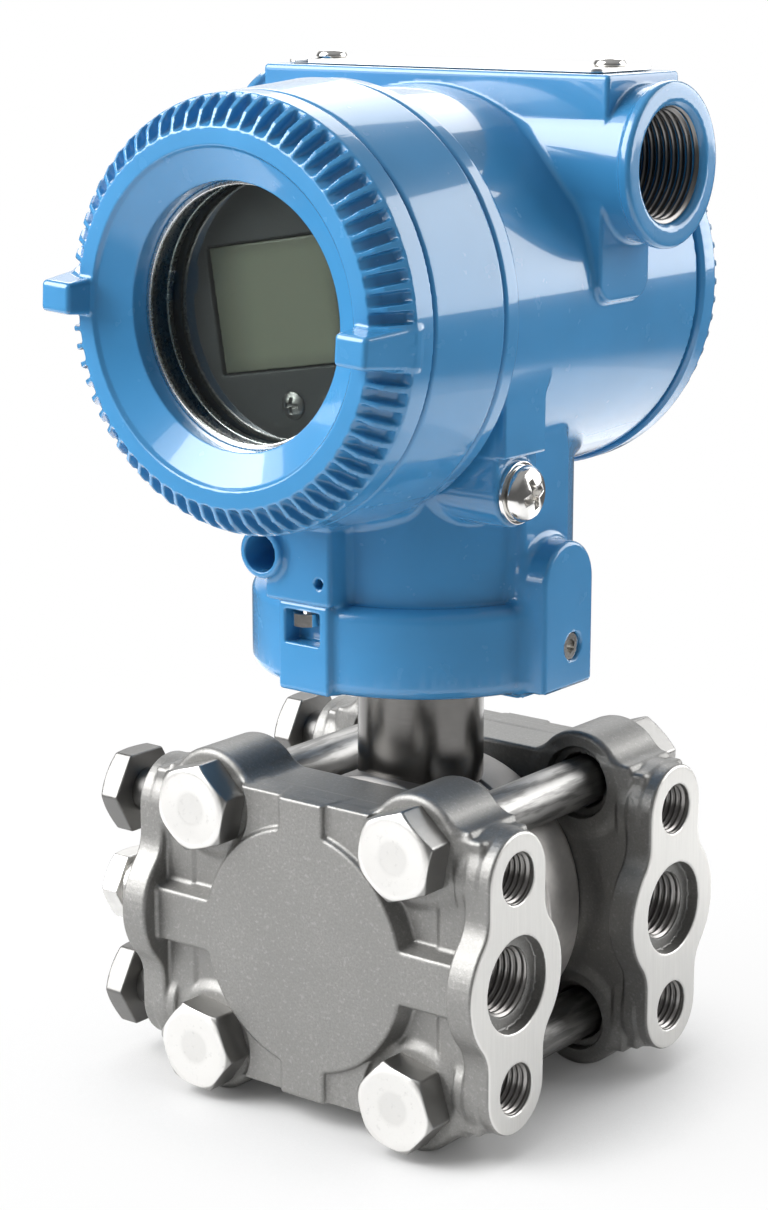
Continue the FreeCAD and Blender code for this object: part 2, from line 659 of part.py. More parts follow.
def front_ring():
    """Slightly conical ring that the display cover closes on, with a rounded band behind it."""
    ring = Part.makeCone(RING_FRONT_R, RING_REAR_R, RING_REAR_Y - RING_FRONT_Y,
                         V(0, RING_FRONT_Y, BARREL_Z), Y_AXIS)
    ring = round_edges(ring, RING_EDGE_R, lambda e: abs(e.CenterOfMass.y - RING_REAR_Y) < 0.01)
    band = cyl(BARREL_R + BAND_STEP, BAND_W, V(0, RING_REAR_Y + BAND_GAP, BARREL_Z), Y_AXIS)
    return ring.fuse(round_edges(band, BAND_EDGE_R, lambda e: len(e.Vertexes) == 1))


def collar():
    """Deep collar around the neck, its top edge rounded into the column."""
    band = cyl(COLLAR_R, COLLAR_H, V(0, 0, COLLAR_Z), Z_AXIS)
    return round_edges(band, COLLAR_EDGE_R, lambda e: e.CenterOfMass.z > COLLAR_Z + COLLAR_H / 2)


def side_details():
    """Ground pad and boss, pilaster, tab under the conduit, and the set screw panel."""
    boss = cyl(GROUND_BOSS_R, GROUND_FACE_X, V(0, GROUND_Y, GROUND_Z), X_AXIS)
    pad = box(0, GROUND_FACE_X, GROUND_Y - GROUND_PAD_HALF_W, GROUND_Y + GROUND_PAD_HALF_W,
              GROUND_Z, BARREL_Z - 5)
    strip_z = GROUND_Z + WASHER_R + GROUND_STRIP_GAP
    strip = box(0, GROUND_STRIP_X, GROUND_Y - GROUND_PAD_HALF_W, GROUND_Y + GROUND_PAD_HALF_W,
                strip_z, BARREL_Z - 5)
    pilaster = box(0, PILASTER_X, PILASTER_Y0, PILASTER_Y1, COLLAR_Z, UNDERSIDE_Z + PILASTER_LIFT)
    pilaster = round_edges(pilaster, PILASTER_CORNER_R, lambda e: is_top_corner(e, pilaster))
    tab = box(0, TAB_X, TAB_Y - TAB_HALF_W, TAB_Y + TAB_HALF_W, BARREL_Z - TAB_DROP, CONDUIT_Z)
    tab = round_edges(tab, TAB_CORNER_R, lambda e: is_low_corner(e, tab))
    panel = box(0, PANEL_X, PANEL_Y0, PANEL_Y1, COLLAR_Z, COLLAR_Z + PANEL_TOP)
    panel = round_edges(panel, PANEL_CORNER_R, lambda e: is_top_corner(e, panel))
    return [boss, pad, strip, pilaster, tab, panel]


def is_top_corner(edge, shape):
    """An edge along X at the top of the shape."""
    ends = [v.Point for v in edge.Vertexes]
    along_x = abs(ends[0].y - ends[1].y) < 0.01 and abs(ends[0].z - ends[1].z) < 0.01
    return along_x and ends[0].z > shape.BoundBox.ZMax - 0.01


def is_low_corner(edge, shape):
    """An edge along X at the bottom of the shape."""
    ends = [v.Point for v in edge.Vertexes]
    along_x = abs(ends[0].y - ends[1].y) < 0.01 and abs(ends[0].z - ends[1].z) < 0.01
    return along_x and ends[0].z < shape.BoundBox.ZMin + 0.01


def lock_details():
    """Raised pad, block and short tube at the front of the column, below the cover."""
    pad = box(LOCK_PAD_X0, LOCK_PAD_X1, LOCK_PAD_Y, 0, COLLAR_Z, COLLAR_TOP_Z)
    block = box(LOCK_BLOCK_X0, LOCK_BLOCK_X1, LOCK_BLOCK_Y, 0,
                COLLAR_TOP_Z - EPS, COLLAR_TOP_Z + LOCK_BLOCK_H)
    spout = cyl(LOCK_TUBE_R, -LOCK_TUBE_Y, V(LOCK_TUBE_X, LOCK_TUBE_Y, COLLAR_Z + LOCK_TUBE_RISE),
                Y_AXIS)
    return [pad, block, spout]


def housing_hollows():
    """Chambers, bores and screw holes of the housing."""
    axis = V(0, 0, BARREL_Z)
    cuts = []
    cuts.append(cyl(FRONT_CHAMBER_R, FRONT_WALL_Y - RING_FRONT_Y, axis + Y_AXIS * RING_FRONT_Y, Y_AXIS))
    cuts.append(cyl(COVER_BORE_R, COVER_BORE_L + EPS, axis + Y_AXIS * (RING_FRONT_Y - EPS), Y_AXIS))
    cuts.append(cyl(REAR_CHAMBER_R, BARREL_REAR_Y - REAR_WALL_Y, axis + Y_AXIS * REAR_WALL_Y, Y_AXIS))
    cuts.append(cyl(COVER_BORE_R, COVER_BORE_L + EPS, axis + Y_AXIS * (BARREL_REAR_Y + EPS), Y_AXIS * -1))
    way_half_l = CONDUIT_HALF_L - CONDUIT_THREAD_L + EPS
    cuts.append(cyl(CONDUIT_WAY_R, 2 * way_half_l, V(-way_half_l, CONDUIT_Y, CONDUIT_Z), X_AXIS))
    wide_r = CONDUIT_BORE_R + CONDUIT_MOUTH_CHAMFER
    for side in (1, -1):
        mouth = V(side * CONDUIT_HALF_L, CONDUIT_Y, CONDUIT_Z)
        outside = V(side * (CONDUIT_HALF_L + EPS), CONDUIT_Y, CONDUIT_Z)
        cuts.append(cyl(CONDUIT_BORE_R, CONDUIT_THREAD_L + EPS, outside, X_AXIS * -side))
        cuts.append(Part.makeCone(wide_r, CONDUIT_BORE_R, CONDUIT_MOUTH_CHAMFER, mouth, X_AXIS * -side))
    bore_r = NECK_R + NECK_CLEARANCE
    cuts.append(cyl(bore_r, NECK_FIT_L + EPS, V(0, 0, COLLAR_Z - EPS), Z_AXIS))
    cuts.append(cyl(NECK_CAVITY_R, NECK_CAVITY_H, V(0, 0, NECK_TOP_Z), Z_AXIS))
    way_h = BARREL_Z - FRONT_CHAMBER_R / 2 - NECK_TOP_Z
    cuts.append(cyl(WIRE_WAY_R, way_h, V(0, WIRE_WAY_Y, NECK_TOP_Z), Z_AXIS))
    cuts.append(cyl(SCREW_M5_R + THREAD_CLEARANCE, GROUND_SCREW_L + 1,
                    V(GROUND_FACE_X + EPS, GROUND_Y, GROUND_Z), X_AXIS * -1))
    cuts.append(cyl(SCREW_M5_R + THREAD_CLEARANCE, PANEL_X, V(0, 0, COLLAR_Z + SET_SCREW_RISE), X_AXIS))
    tube_z = COLLAR_Z + LOCK_TUBE_RISE
    cuts.append(cyl(LOCK_TUBE_BORE_R, LOCK_TUBE_BORE_L + EPS,
                    V(LOCK_TUBE_X, LOCK_TUBE_Y - EPS, tube_z), Y_AXIS))
    cuts.append(box(NOTCH_X0, NOTCH_X1, LOCK_PAD_Y - EPS, LOCK_PAD_Y + NOTCH_DEPTH,
                    COLLAR_Z + NOTCH_RISE, COLLAR_Z + NOTCH_RISE + NOTCH_H))
    cuts.append(cyl(JAM_SCREW_R + THREAD_CLEARANCE, JAM_SCREW_L, jam_head_top(), Z_AXIS))
    cuts.append(cyl(SEAL_WIRE_R, SEAL_WIRE_L + EPS,
                    V(SEAL_WIRE_X, LOCK_BLOCK_Y - EPS, COLLAR_TOP_Z + SEAL_WIRE_LIFT), Y_AXIS))
    for side in (1, -1):
        well = V(side * NAMEPLATE_SCREW_X, BLOCK_MID_Y, BLOCK_TOP_Z + EPS)
        cuts.append(cyl(NAMEPLATE_SCREW_R + THREAD_CLEARANCE, NAMEPLATE_SCREW_L + 2 * EPS, well,
                        Z_AXIS * -1))
        well = V(side * BUTTON_X, BLOCK_MID_Y, BLOCK_TOP_Z + EPS)
        cuts.append(cyl(BUTTON_R + BUTTON_CLEARANCE, BUTTON_WELL + EPS, well, Z_AXIS * -1))
    return cuts


def housing():
    """Painted aluminium casting: barrel, front ring, conduit tube, block, column and collar."""
    barrel = cyl(BARREL_R, BARREL_REAR_Y - RING_REAR_Y + 1, V(0, RING_REAR_Y - 1, BARREL_Z), Y_AXIS)
    column = cyl(COLUMN_R, BARREL_Z - COLLAR_Z, V(0, 0, COLLAR_Z), Z_AXIS)
    column = column.cut(cyl(FRONT_CHAMBER_R, 2 * COLLAR_R, V(0, -COLLAR_R, BARREL_Z), Y_AXIS))
    body = barrel.fuse([front_ring(), conduit_tube(), top_block(), column, collar()])
    body = body.fuse(side_details() + lock_details())
    return body.cut(Part.makeCompound(housing_hollows())).removeSplitter()


def jam_head_top():
    """Top face centre of the jam screw's head, under the roof of the notch."""
    mid_x = (NOTCH_X0 + NOTCH_X1) / 2
    head_y = LOCK_PAD_Y + NOTCH_DEPTH - JAM_HEAD_R - FIT_GAP
    return V(mid_x, head_y + 0.9, COLLAR_Z + NOTCH_RISE + NOTCH_H - 2 * FIT_GAP)


def cover_jam_screw():
    """Small cap screw in the notch, turned out against the cover."""
    top = jam_head_top()
    head_y = LOCK_PAD_Y + NOTCH_DEPTH - JAM_HEAD_R - FIT_GAP
    head = cyl(JAM_HEAD_R, JAM_HEAD_H, V(top.x, head_y, top.z), Z_AXIS * -1)
    return head.fuse(cyl(JAM_SCREW_R, JAM_SCREW_L - 1, V(top.x, top.y, top.z - 0.2), Z_AXIS))


def housing_set_screw():
    """Socket set screw that stops the housing on the neck."""
    tip_x = NECK_R + NECK_CLEARANCE + SET_SCREW_END_GAP
    length = PANEL_X - 0.6 - tip_x
    z = COLLAR_Z + SET_SCREW_RISE
    screw = cyl(SCREW_M5_R, length, V(tip_x, 0, z), X_AXIS)
    socket = hex_prism(SET_SCREW_SOCKET_AF, 3.0, V(tip_x + length - 2.5, 0, z), X_AXIS, 0)
    return screw.cut(socket)


def cross_recess(centre, axis, reach, width, depth):
    """Cross-shaped recess for a screwdriver, sunk from centre against axis."""
    side = axis.cross(Z_AXIS)
    if side.Length < 0.5:
        side = X_AXIS
    up = side.cross(axis)
    arms = []
    for along, across in ((side, up), (up, side)):
        a = centre + along * reach + across * (width / 2)
        b = centre - along * reach + across * (width / 2)
        c = centre - along * reach - across * (width / 2)
        d = centre + along * reach - across * (width / 2)
        arms.append(Part.Face(Part.makePolygon([a, b, c, d, a])).extrude(axis * -depth))
    return arms[0].fuse(arms[1])


def pan_screw(head_r, head_h, shank_r, length, seat, axis):
    """Pan head screw with a cross recess; seat is the centre of the face under its head."""
    head = cyl(head_r, head_h, seat, axis)
    top = seat + axis * head_h
    head = round_edges(head, head_h * 0.45, lambda e: e.CenterOfMass.distanceToPoint(top) < 0.01)
    head = head.cut(cross_recess(top, axis, head_r * 0.55, head_r * 0.22, head_h * 0.5))
    return head.fuse(cyl(shank_r, length, seat, axis * -1))


def ground_screw():
    """Cross-recess screw of the outer ground terminal."""
    seat = V(GROUND_FACE_X + WASHER_T, GROUND_Y, GROUND_Z)
    return pan_screw(GROUND_HEAD_R, GROUND_HEAD_H, SCREW_M5_R, GROUND_SCREW_L, seat, X_AXIS)


def ground_washer():
    """Square-cut washer under the ground screw."""
    base = V(GROUND_FACE_X, GROUND_Y, GROUND_Z)
    return tube(WASHER_R, SCREW_M5_R + THREAD_CLEARANCE, WASHER_T, base, X_AXIS)


def cover_profile(window):
    """(radius, distance out of the gap face) of a cover, from the middle round to the middle."""
    face = COVER_DEPTH - COVER_GAP
    dish = face - WINDOW_BACK
    seat = face - GLASS_SEAT_BACK
    groove_r = SKIRT_R - SEAL_GROOVE_DEPTH
    groove_0 = -SEAL_SET_BACK
    groove_1 = groove_0 - SEAL_GROOVE_W
    outer = [(WINDOW_R, dish), (FACE_IN_R, face - 0.8), (FACE_IN_R + 0.6, face), (FACE_OUT_R, face),
             (SHOULDER_2_R, face - SHOULDER_2_BACK), (SHOULDER_1_R, face - SHOULDER_1_BACK),
             (COVER_RING_R, COVER_RING_W - 0.3), (RING_FRONT_R, 0)]
    skirt = [(SKIRT_R, 0), (SKIRT_R, groove_0), (groove_r, groove_0), (groove_r, groove_1),
             (SKIRT_R, groove_1), (SKIRT_R, -SKIRT_L), (SKIRT_IN_R, -SKIRT_L)]
    if window:
        inner = [(SKIRT_IN_R, seat - GLASS_T - REAR_RING_T), (GLASS_R + GLASS_CLEARANCE,
                 seat - GLASS_T - REAR_RING_T), (GLASS_R + GLASS_CLEARANCE, seat), (WINDOW_R, seat)]
        return outer + skirt + inner
    inner = [(SKIRT_IN_R, dish - REAR_PLATE_T), (0, dish - REAR_PLATE_T), (0, dish)]
    return outer + skirt + inner


def cover_valleys():
    """Cutters for the finger valleys round the shoulder, as (radius, out) wedges in a ring."""
    face = COVER_DEPTH - COVER_GAP
    floor = [(FACE_OUT_R + 0.2, face + 0.1),
             (SHOULDER_2_R - VALLEY_DEPTH, face - SHOULDER_2_BACK - VALLEY_DEPTH * 0.6),
             (SHOULDER_1_R - VALLEY_DEPTH, face - SHOULDER_1_BACK - VALLEY_DEPTH * 0.2),
             (SHOULDER_1_R - VALLEY_DEPTH * 0.7, COVER_RING_W + 0.5),
             (COVER_RING_R + 1, COVER_RING_W), (COVER_RING_R + 1, face + 0.1)]
    cutters = []
    for i in range(TOOTH_COUNT):
        points = [V(r, out, -VALLEY_W / 2) for r, out in floor]
        cutter = Part.Face(Part.makePolygon(points + [points[0]])).extrude(Z_AXIS * VALLEY_W)
        cutter.rotate(V(0, 0, 0), Y_AXIS, 360.0 * (i + 0.5) / TOOTH_COUNT)
        cutters.append(cutter)
    return Part.makeCompound(cutters)


def turned(points):
    """Solid of revolution about Y at the origin, from (radius, y) points."""
    outline = [V(r, y, 0) for r, y in points]
    return Part.Face(Part.makePolygon(outline + [outline[0]])).revolve(V(0, 0, 0), Y_AXIS, 360)


def cover_lugs():
    """Two driving lugs that stand out of the face, opposite each other."""
    face = COVER_DEPTH - COVER_GAP
    lugs = []
    for turn in (0, 180):
        lug = box(LUG_IN_R, LUG_OUT_R, COVER_RING_W, face + LUG_RISE, -LUG_HALF_W, LUG_HALF_W)
        lug = round_edges(lug, LUG_EDGE_R, lambda e: e.CenterOfMass.y > COVER_RING_W + 1)
        lug.rotate(V(0, 0, 0), Y_AXIS, turn)
        lugs.append(lug)
    return lugs


def display_cover():
    """Threaded cover with a window, finger valleys and two driving lugs."""
    cover = turned(cover_profile(True)).cut(cover_valleys()).fuse(cover_lugs())
    cover.rotate(V(0, 0, 0), Y_AXIS, COVER_TURN_DEG)
    cover = cover.mirror(V(0, 0, 0), Y_AXIS)
    cover.translate(V(0, FRONT_JOIN_Y, BARREL_Z))
    return cover


def rear_cover():
    """Threaded blind cover with finger valleys and two low lugs in its dish."""
    face = COVER_DEPTH - COVER_GAP
    cover = turned(cover_profile(False)).cut(cover_valleys())
    for turn in (35, 215):
        lug = box(REAR_LUG_IN_R, REAR_LUG_OUT_R, face - WINDOW_BACK - 1, face, -LUG_HALF_W, LUG_HALF_W)
        lug.rotate(V(0, 0, 0), Y_AXIS, turn)
        cover = cover.fuse(lug)
    cover.translate(V(0, REAR_JOIN_Y, BARREL_Z))
    return cover


def glass_seat_y():
    """Where the front of the glass lies."""
    return FRONT_FACE_Y + GLASS_SEAT_BACK


def window_glass():
    """Thick round glass behind the window edge."""
    return cyl(GLASS_R, GLASS_T, V(0, glass_seat_y(), BARREL_Z), Y_AXIS)


def window_front_ring():
    """Thin bright ring pressed into the window bore in front of the glass."""
    base = V(0, glass_seat_y() - FRONT_RING_W, BARREL_Z)
    return tube(WINDOW_R, WINDOW_R - FRONT_RING_W, FRONT_RING_W, base, Y_AXIS)


def window_rear_ring():
    """Ring that holds the glass from behind."""
    base = V(0, glass_seat_y() + GLASS_T, BARREL_Z)
    return tube(GLASS_R, GLASS_R - REAR_RING_W, REAR_RING_T, base, Y_AXIS)


def cover_seal(join_y, inward):
    """Seal ring in the skirt groove of a cover."""
    y = join_y + inward * (SEAL_SET_BACK + SEAL_GROOVE_W / 2)
    ring_r = SKIRT_R - SEAL_GROOVE_DEPTH + SEAL_CLEARANCE + SEAL_R
    return Part.makeTorus(ring_r, SEAL_R, V(0, y, BARREL_Z), Y_AXIS)


def display_module():
    """Round display case with a sunk place for the screen."""
    case = cyl(DISPLAY_R, DISPLAY_T, V(0, DISPLAY_Y, BARREL_Z), Y_AXIS)
    case = round_edges(case, 1.0, lambda e: abs(e.CenterOfMass.y - DISPLAY_Y) < 0.01)
    z = BARREL_Z + LCD_RISE
    depth = LCD_T + LCD_RECESS
    case = case.cut(box(-LCD_HALF_W, LCD_HALF_W, DISPLAY_Y - EPS, DISPLAY_Y + depth,
                        z - LCD_HALF_H, z + LCD_HALF_H))
    for x, dz in DISPLAY_SCREWS:
        start = V(x, DISPLAY_Y - EPS, BARREL_Z + dz)
        case = case.cut(cyl(DISPLAY_SCREW_R + FIT_GAP, DISPLAY_T + 2 * EPS, start, Y_AXIS))
    return case


def display_screen():
    """Liquid crystal panel."""
    z = BARREL_Z + LCD_RISE
    half_w = LCD_HALF_W - FIT_GAP
    half_h = LCD_HALF_H - FIT_GAP
    y = DISPLAY_Y + LCD_RECESS
    return box(-half_w, half_w, y, y + LCD_T, z - half_h, z + half_h)


def display_screws():
    """Captive screws that hold the display to the board."""
    screws = []
    for x, dz in DISPLAY_SCREWS:
        seat = V(x, DISPLAY_Y, BARREL_Z + dz)
        screws.append(pan_screw(DISPLAY_SCREW_HEAD_R, DISPLAY_SCREW_HEAD_H, DISPLAY_SCREW_R,
                                BOARD_Y - DISPLAY_Y, seat, Y_AXIS * -1))
    return Part.makeCompound(screws)


def board_posts(y0, y1):
    """Round posts on the standoff circle between two planes."""
    posts = []
    for i in range(STANDOFF_COUNT):
        a = math.radians(90 + 360.0 * i / STANDOFF_COUNT)
        foot = V(STANDOFF_CIRCLE_R * math.cos(a), y0, BARREL_Z + STANDOFF_CIRCLE_R * math.sin(a))
        posts.append(cyl(STANDOFF_R, y1 - y0, foot, Y_AXIS))
    return posts


def board_standoffs():
    """Posts between the display and the board, and between the board and the wall."""
    front = board_posts(DISPLAY_Y + DISPLAY_T, BOARD_Y)
    rear = board_posts(BOARD_Y + BOARD_T, FRONT_WALL_Y)
    return Part.makeCompound(front + rear)


def electronics_board():
    """Round circuit board with a processor and a row of larger parts."""
    board = cyl(BOARD_R, BOARD_T, V(0, BOARD_Y, BARREL_Z), Y_AXIS)
    back_y = BOARD_Y + BOARD_T
    board = board.fuse(box(-CHIP_HALF_W, CHIP_HALF_W, back_y, back_y + CHIP_T,
                           BARREL_Z - CHIP_HALF_W, BARREL_Z + CHIP_HALF_W))
    for step in (-1, 0, 1):
        foot = V(step * CAPACITOR_PITCH, back_y, BARREL_Z - CAPACITOR_DROP)
        board = board.fuse(cyl(CAPACITOR_R, CAPACITOR_H, foot, Y_AXIS))
    return board


def terminal_block():
    """Moulded block with a step for the field terminals."""
    disc = cyl(TERMINAL_R, TERMINAL_T, V(0, REAR_WALL_Y, BARREL_Z), Y_AXIS)
    below = box(-TERMINAL_R, TERMINAL_R, REAR_WALL_Y, REAR_WALL_Y + TERMINAL_T,
                BARREL_Z - TERMINAL_R, BARREL_Z + TERMINAL_TOP)
    block = disc.common(below)
    step_y = REAR_WALL_Y + TERMINAL_T - TERMINAL_STEP
    block = block.cut(box(-TERMINAL_R, TERMINAL_R, step_y, REAR_WALL_Y + TERMINAL_T + EPS,
                          BARREL_Z - TERMINAL_STEP_DROP, BARREL_Z + TERMINAL_TOP + EPS))
    for x in terminal_places():
        start = V(x, step_y + EPS, BARREL_Z)
        hole = cyl(TERMINAL_SCREW_R + FIT_GAP, TERMINAL_HOLE_L + EPS, start, Y_AXIS * -1)
        block = block.cut(hole)
    return block


def terminal_places():
    """X of the three field terminals."""
    return (-TERMINAL_SCREW_PITCH, 0, TERMINAL_SCREW_PITCH)


def terminal_screws():
    """Field terminal screws."""
    step_y = REAR_WALL_Y + TERMINAL_T - TERMINAL_STEP
    screws = []
    for x in terminal_places():
        seat = V(x, step_y, BARREL_Z)
        screws.append(pan_screw(TERMINAL_HEAD_R, TERMINAL_HEAD_H, TERMINAL_SCREW_R,
                                TERMINAL_SCREW_L, seat, Y_AXIS))
    return Part.makeCompound(screws)


def nameplate():
    """Thin plate that swivels on its right-hand screw; its other end is slotted to swing out."""
    z0 = BLOCK_TOP_Z + NAMEPLATE_GAP
    plate = box(-NAMEPLATE_HALF_L, NAMEPLATE_HALF_L, BLOCK_MID_Y - NAMEPLATE_HALF_W,
                BLOCK_MID_Y + NAMEPLATE_HALF_W, z0, z0 + NAMEPLATE_T)
    plate = round_edges(plate, 2.0, lambda e: abs(e.Vertexes[0].Z - e.Vertexes[1].Z) > 0.1)
    pivot = V(NAMEPLATE_SCREW_X, BLOCK_MID_Y, z0 - EPS)
    plate = plate.cut(cyl(NAMEPLATE_HOLE_R, 3, pivot, Z_AXIS))
    swing_r = 2 * NAMEPLATE_SCREW_X
    swept = tube(swing_r + NAMEPLATE_HOLE_R, swing_r - NAMEPLATE_HOLE_R, 3, pivot, Z_AXIS)
    behind = box(-swing_r, 0, BLOCK_MID_Y, 2 * swing_r, z0 - 1, z0 + 3)
    plate = plate.cut(swept.common(behind))
    far_hole = cyl(NAMEPLATE_HOLE_R, 3, V(-NAMEPLATE_SCREW_X, BLOCK_MID_Y, z0 - EPS), Z_AXIS)
    return plate.cut(far_hole)


def nameplate_screws():
    """Two pan head screws on the nameplate."""
    z = BLOCK_TOP_Z + 2 * NAMEPLATE_GAP + NAMEPLATE_T
    length = NAMEPLATE_SCREW_L + NAMEPLATE_T
    screws = []
    for side in (1, -1):
        seat = V(side * NAMEPLATE_SCREW_X, BLOCK_MID_Y, z)
        screws.append(pan_screw(NAMEPLATE_HEAD_R, NAMEPLATE_HEAD_H, NAMEPLATE_SCREW_R, length, seat,
                                Z_AXIS))
    return Part.makeCompound(screws)


def adjust_button(side):
    """Push button in a well of the block, under the nameplate."""
    top_z = BLOCK_TOP_Z - BUTTON_SINK
    button = cyl(BUTTON_R, BUTTON_H, V(side * BUTTON_X, BLOCK_MID_Y, top_z - BUTTON_H), Z_AXIS)
    slot = box(side * BUTTON_X - 2.5, side * BUTTON_X + 2.5, BLOCK_MID_Y - 0.5, BLOCK_MID_Y + 0.5,
               top_z - 0.8, top_z + EPS)
    return button.cut(slot)


def conduit_plug():
    """Plug that closes the conduit entry on the minus X side."""
    mouth = V(-CONDUIT_HALF_L, CONDUIT_Y, CONDUIT_Z)
    plug = cyl(PLUG_HEAD_R, PLUG_HEAD_T, mouth, X_AXIS * -1)
    outer = mouth - X_AXIS * PLUG_HEAD_T
    plug = round_edges(plug, 0.8, lambda e: e.CenterOfMass.distanceToPoint(outer) < 0.01)
    plug = plug.fuse(cyl(CONDUIT_BORE_R - FIT_GAP, PLUG_THREAD_L, mouth, X_AXIS))
    socket = hex_prism(PLUG_SOCKET_AF, PLUG_SOCKET_DEPTH, outer - X_AXIS * EPS, X_AXIS, 0)
    return plug.cut(socket)


def main():
    os.makedirs("parts", exist_ok=True)
    export("front_flange", flange())
    export("rear_flange", mirrored(flange()))
    export("flange_bolts", flange_bolts())
    export("flange_nuts", flange_nuts())
    export("pad_screws", pad_screws())
    export("front_vent_body", vent_body())
    export("rear_vent_body", mirrored(vent_body()))
    export("front_vent_stem", vent_stem())
    export("rear_vent_stem", mirrored(vent_stem()))
    export("sensor_cell", sensor_cell())
    export("front_gasket", gasket())
    export("rear_gasket", mirrored(gasket()))
    export("front_diaphragm", diaphragm())
    export("rear_diaphragm", mirrored(diaphragm()))
    export("sensor_neck", sensor_neck())
    export("neck_seal", neck_seal())
    export("sensor_connector", sensor_connector())
    export("housing", housing())
    export("housing_set_screw", housing_set_screw())
    export("cover_jam_screw", cover_jam_screw())
    export("ground_screw", ground_screw())
    export("ground_washer", ground_washer())
    export("display_cover", display_cover())
    export("window_glass", window_glass())
    export("window_front_ring", window_front_ring())
    export("window_rear_ring", window_rear_ring())
    export("front_cover_seal", cover_seal(FRONT_JOIN_Y, 1))
    export("rear_cover", rear_cover())
    export("rear_cover_seal", cover_seal(REAR_JOIN_Y, -1))
    export("display_module", display_module())
    export("display_screen", display_screen())
    export("display_screws", display_screws())
    export("electronics_board", electronics_board())
    export("board_standoffs", board_standoffs())
    export("terminal_block", terminal_block())
    export("terminal_screws", terminal_screws())
    export("nameplate", nameplate())
    export("nameplate_screws", nameplate_screws())
    export("zero_button", adjust_button(-1))
    export("span_button", adjust_button(1))
    export("conduit_plug", conduit_plug())


main()
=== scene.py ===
"""Looks of a differential pressure transmitter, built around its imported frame.

Lengths in this file are millimetres in the frame of the part, and meshes are written in metres.
"""

import json
import math

import bpy
import numpy as np
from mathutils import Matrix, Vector


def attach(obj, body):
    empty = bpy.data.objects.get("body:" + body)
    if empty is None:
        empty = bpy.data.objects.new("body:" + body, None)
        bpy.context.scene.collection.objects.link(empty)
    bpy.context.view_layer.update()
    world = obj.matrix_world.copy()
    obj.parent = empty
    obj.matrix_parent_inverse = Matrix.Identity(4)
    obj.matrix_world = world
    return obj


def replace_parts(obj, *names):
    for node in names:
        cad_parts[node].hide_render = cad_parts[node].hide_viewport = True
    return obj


bl_info = {
    "name": "Differential pressure transmitter looks",
    "version": (1, 0, 0),
    "blender": (4, 5, 0),
    "location": "3D View > Sidebar > Transmitter",
    "description": "Castings, covers, threads, fittings and studio of a pressure transmitter",
    "category": "Object",
}

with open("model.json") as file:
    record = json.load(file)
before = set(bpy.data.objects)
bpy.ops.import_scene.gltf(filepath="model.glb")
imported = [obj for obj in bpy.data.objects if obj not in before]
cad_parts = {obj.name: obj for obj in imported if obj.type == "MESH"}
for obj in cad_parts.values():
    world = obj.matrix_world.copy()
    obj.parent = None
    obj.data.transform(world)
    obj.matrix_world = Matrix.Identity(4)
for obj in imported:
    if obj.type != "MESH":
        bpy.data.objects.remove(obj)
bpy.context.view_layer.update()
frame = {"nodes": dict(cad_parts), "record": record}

MM = 0.001

# Heights and places of the part, the housing first
AXIS_Z = 35.2
COLLAR_Z = 85.2
COLLAR_TOP_Z = 102.5
BARREL_Z = 158.4
BARREL_R = 38.5
BARREL_REAR_Y = 37.4
RING_FRONT_Y = -48.4
RING_REAR_Y = -29.9
BAND_END_Y = -24.8
FRONT_JOIN_Y = -48.9
REAR_JOIN_Y = 37.9
CONDUIT_Y = 13.7
CONDUIT_Z = 183.1
CONDUIT_HALF_L = 47.3
CONDUIT_BORE_R = 10.7
BLOCK_TOP_Z = 199.6
COVER_BORE_R = 36.3
NECK_TOP_Z = 105.2
SPOUT_X = -10.4
SPOUT_Z = 111.4
CHAMBER_R = 34.5
REAR_CHAMBER_R = 34.0
TUBE_R = 14.4
HUB_R = 15.3
HUB_START_X = 44.7
BLOCK_HALF_X = 40.6
COLUMN_R = 29.5
COLLAR_R = 33.1
NECK_R = 12.5
GROUND_X = 34.0
GROUND_Y = -16.3
GROUND_Z = 125.2
TOP_MID_Y = 13.65
PLATE_SCREW_X = 32.9
PLATE_TOP_Z = 200.5
BUTTON_X = 12.0

# Where u, v and out of a small piece point on the part
TO_FRONT = ((1, 0, 0), (0, 0, 1), (0, -1, 0))
TO_REAR = ((1, 0, 0), (0, 0, 1), (0, 1, 0))
TO_LEFT = ((0, 1, 0), (0, 0, 1), (-1, 0, 0))
UPWARD = ((1, 0, 0), (0, 1, 0), (0, 0, 1))

# Flange sizes
FLANGE_HALF_X = 37.0
FLANGE_HALF_Z = 30.0
DISC_R = 24.0
RIB_HALF_W = 5.2
BOSS_R = 10.6
PAD_MID_R = 14.8
PAD_END_R = 9.0
PORT_SEAT_R = 9.3
PORT_R = 6.8
PORT_Y = -27.0
FLANGE_INNER_Y = -19.0
RELIEF_Y = -34.0
DISC_FACE_Y = -38.0
BOSS_Y = -35.0
PAD_X = 43.0
STUD_DZ = 20.65
BOLT_X = 24.7
BOLT_Z = 24.6
VALVE_X = -PAD_X - 8.0
STEM_X = VALVE_X - 5.0

# Cover sizes
COVER_DEPTH = 11.0
COVER_GAP = 0.5
COVER_FACE = COVER_DEPTH - COVER_GAP
COVER_RING_R = 39.3
TOOTH_COUNT = 68
VALLEY_W = 2.3
COVER_TURN_DEG = 3.4
WINDOW_SEAT = COVER_FACE - 8.6
LUG_TOP = COVER_FACE + 5.8
LUG_START_R = 30.6
LUG_END_R = 37.4
LUG_HALF_W = 2.8

# Screen of the display, which sits turned in its case
SCREEN_TURN_DEG = 9.5
SCREEN_RISE = 1.2
SCREEN_HALF_W = 14.2
SCREEN_HALF_H = 11.5
DISPLAY_FACE_Y = -43.8
DISPLAY_SCREWS = ((4.2, -16.6), (19.5, 4.0))

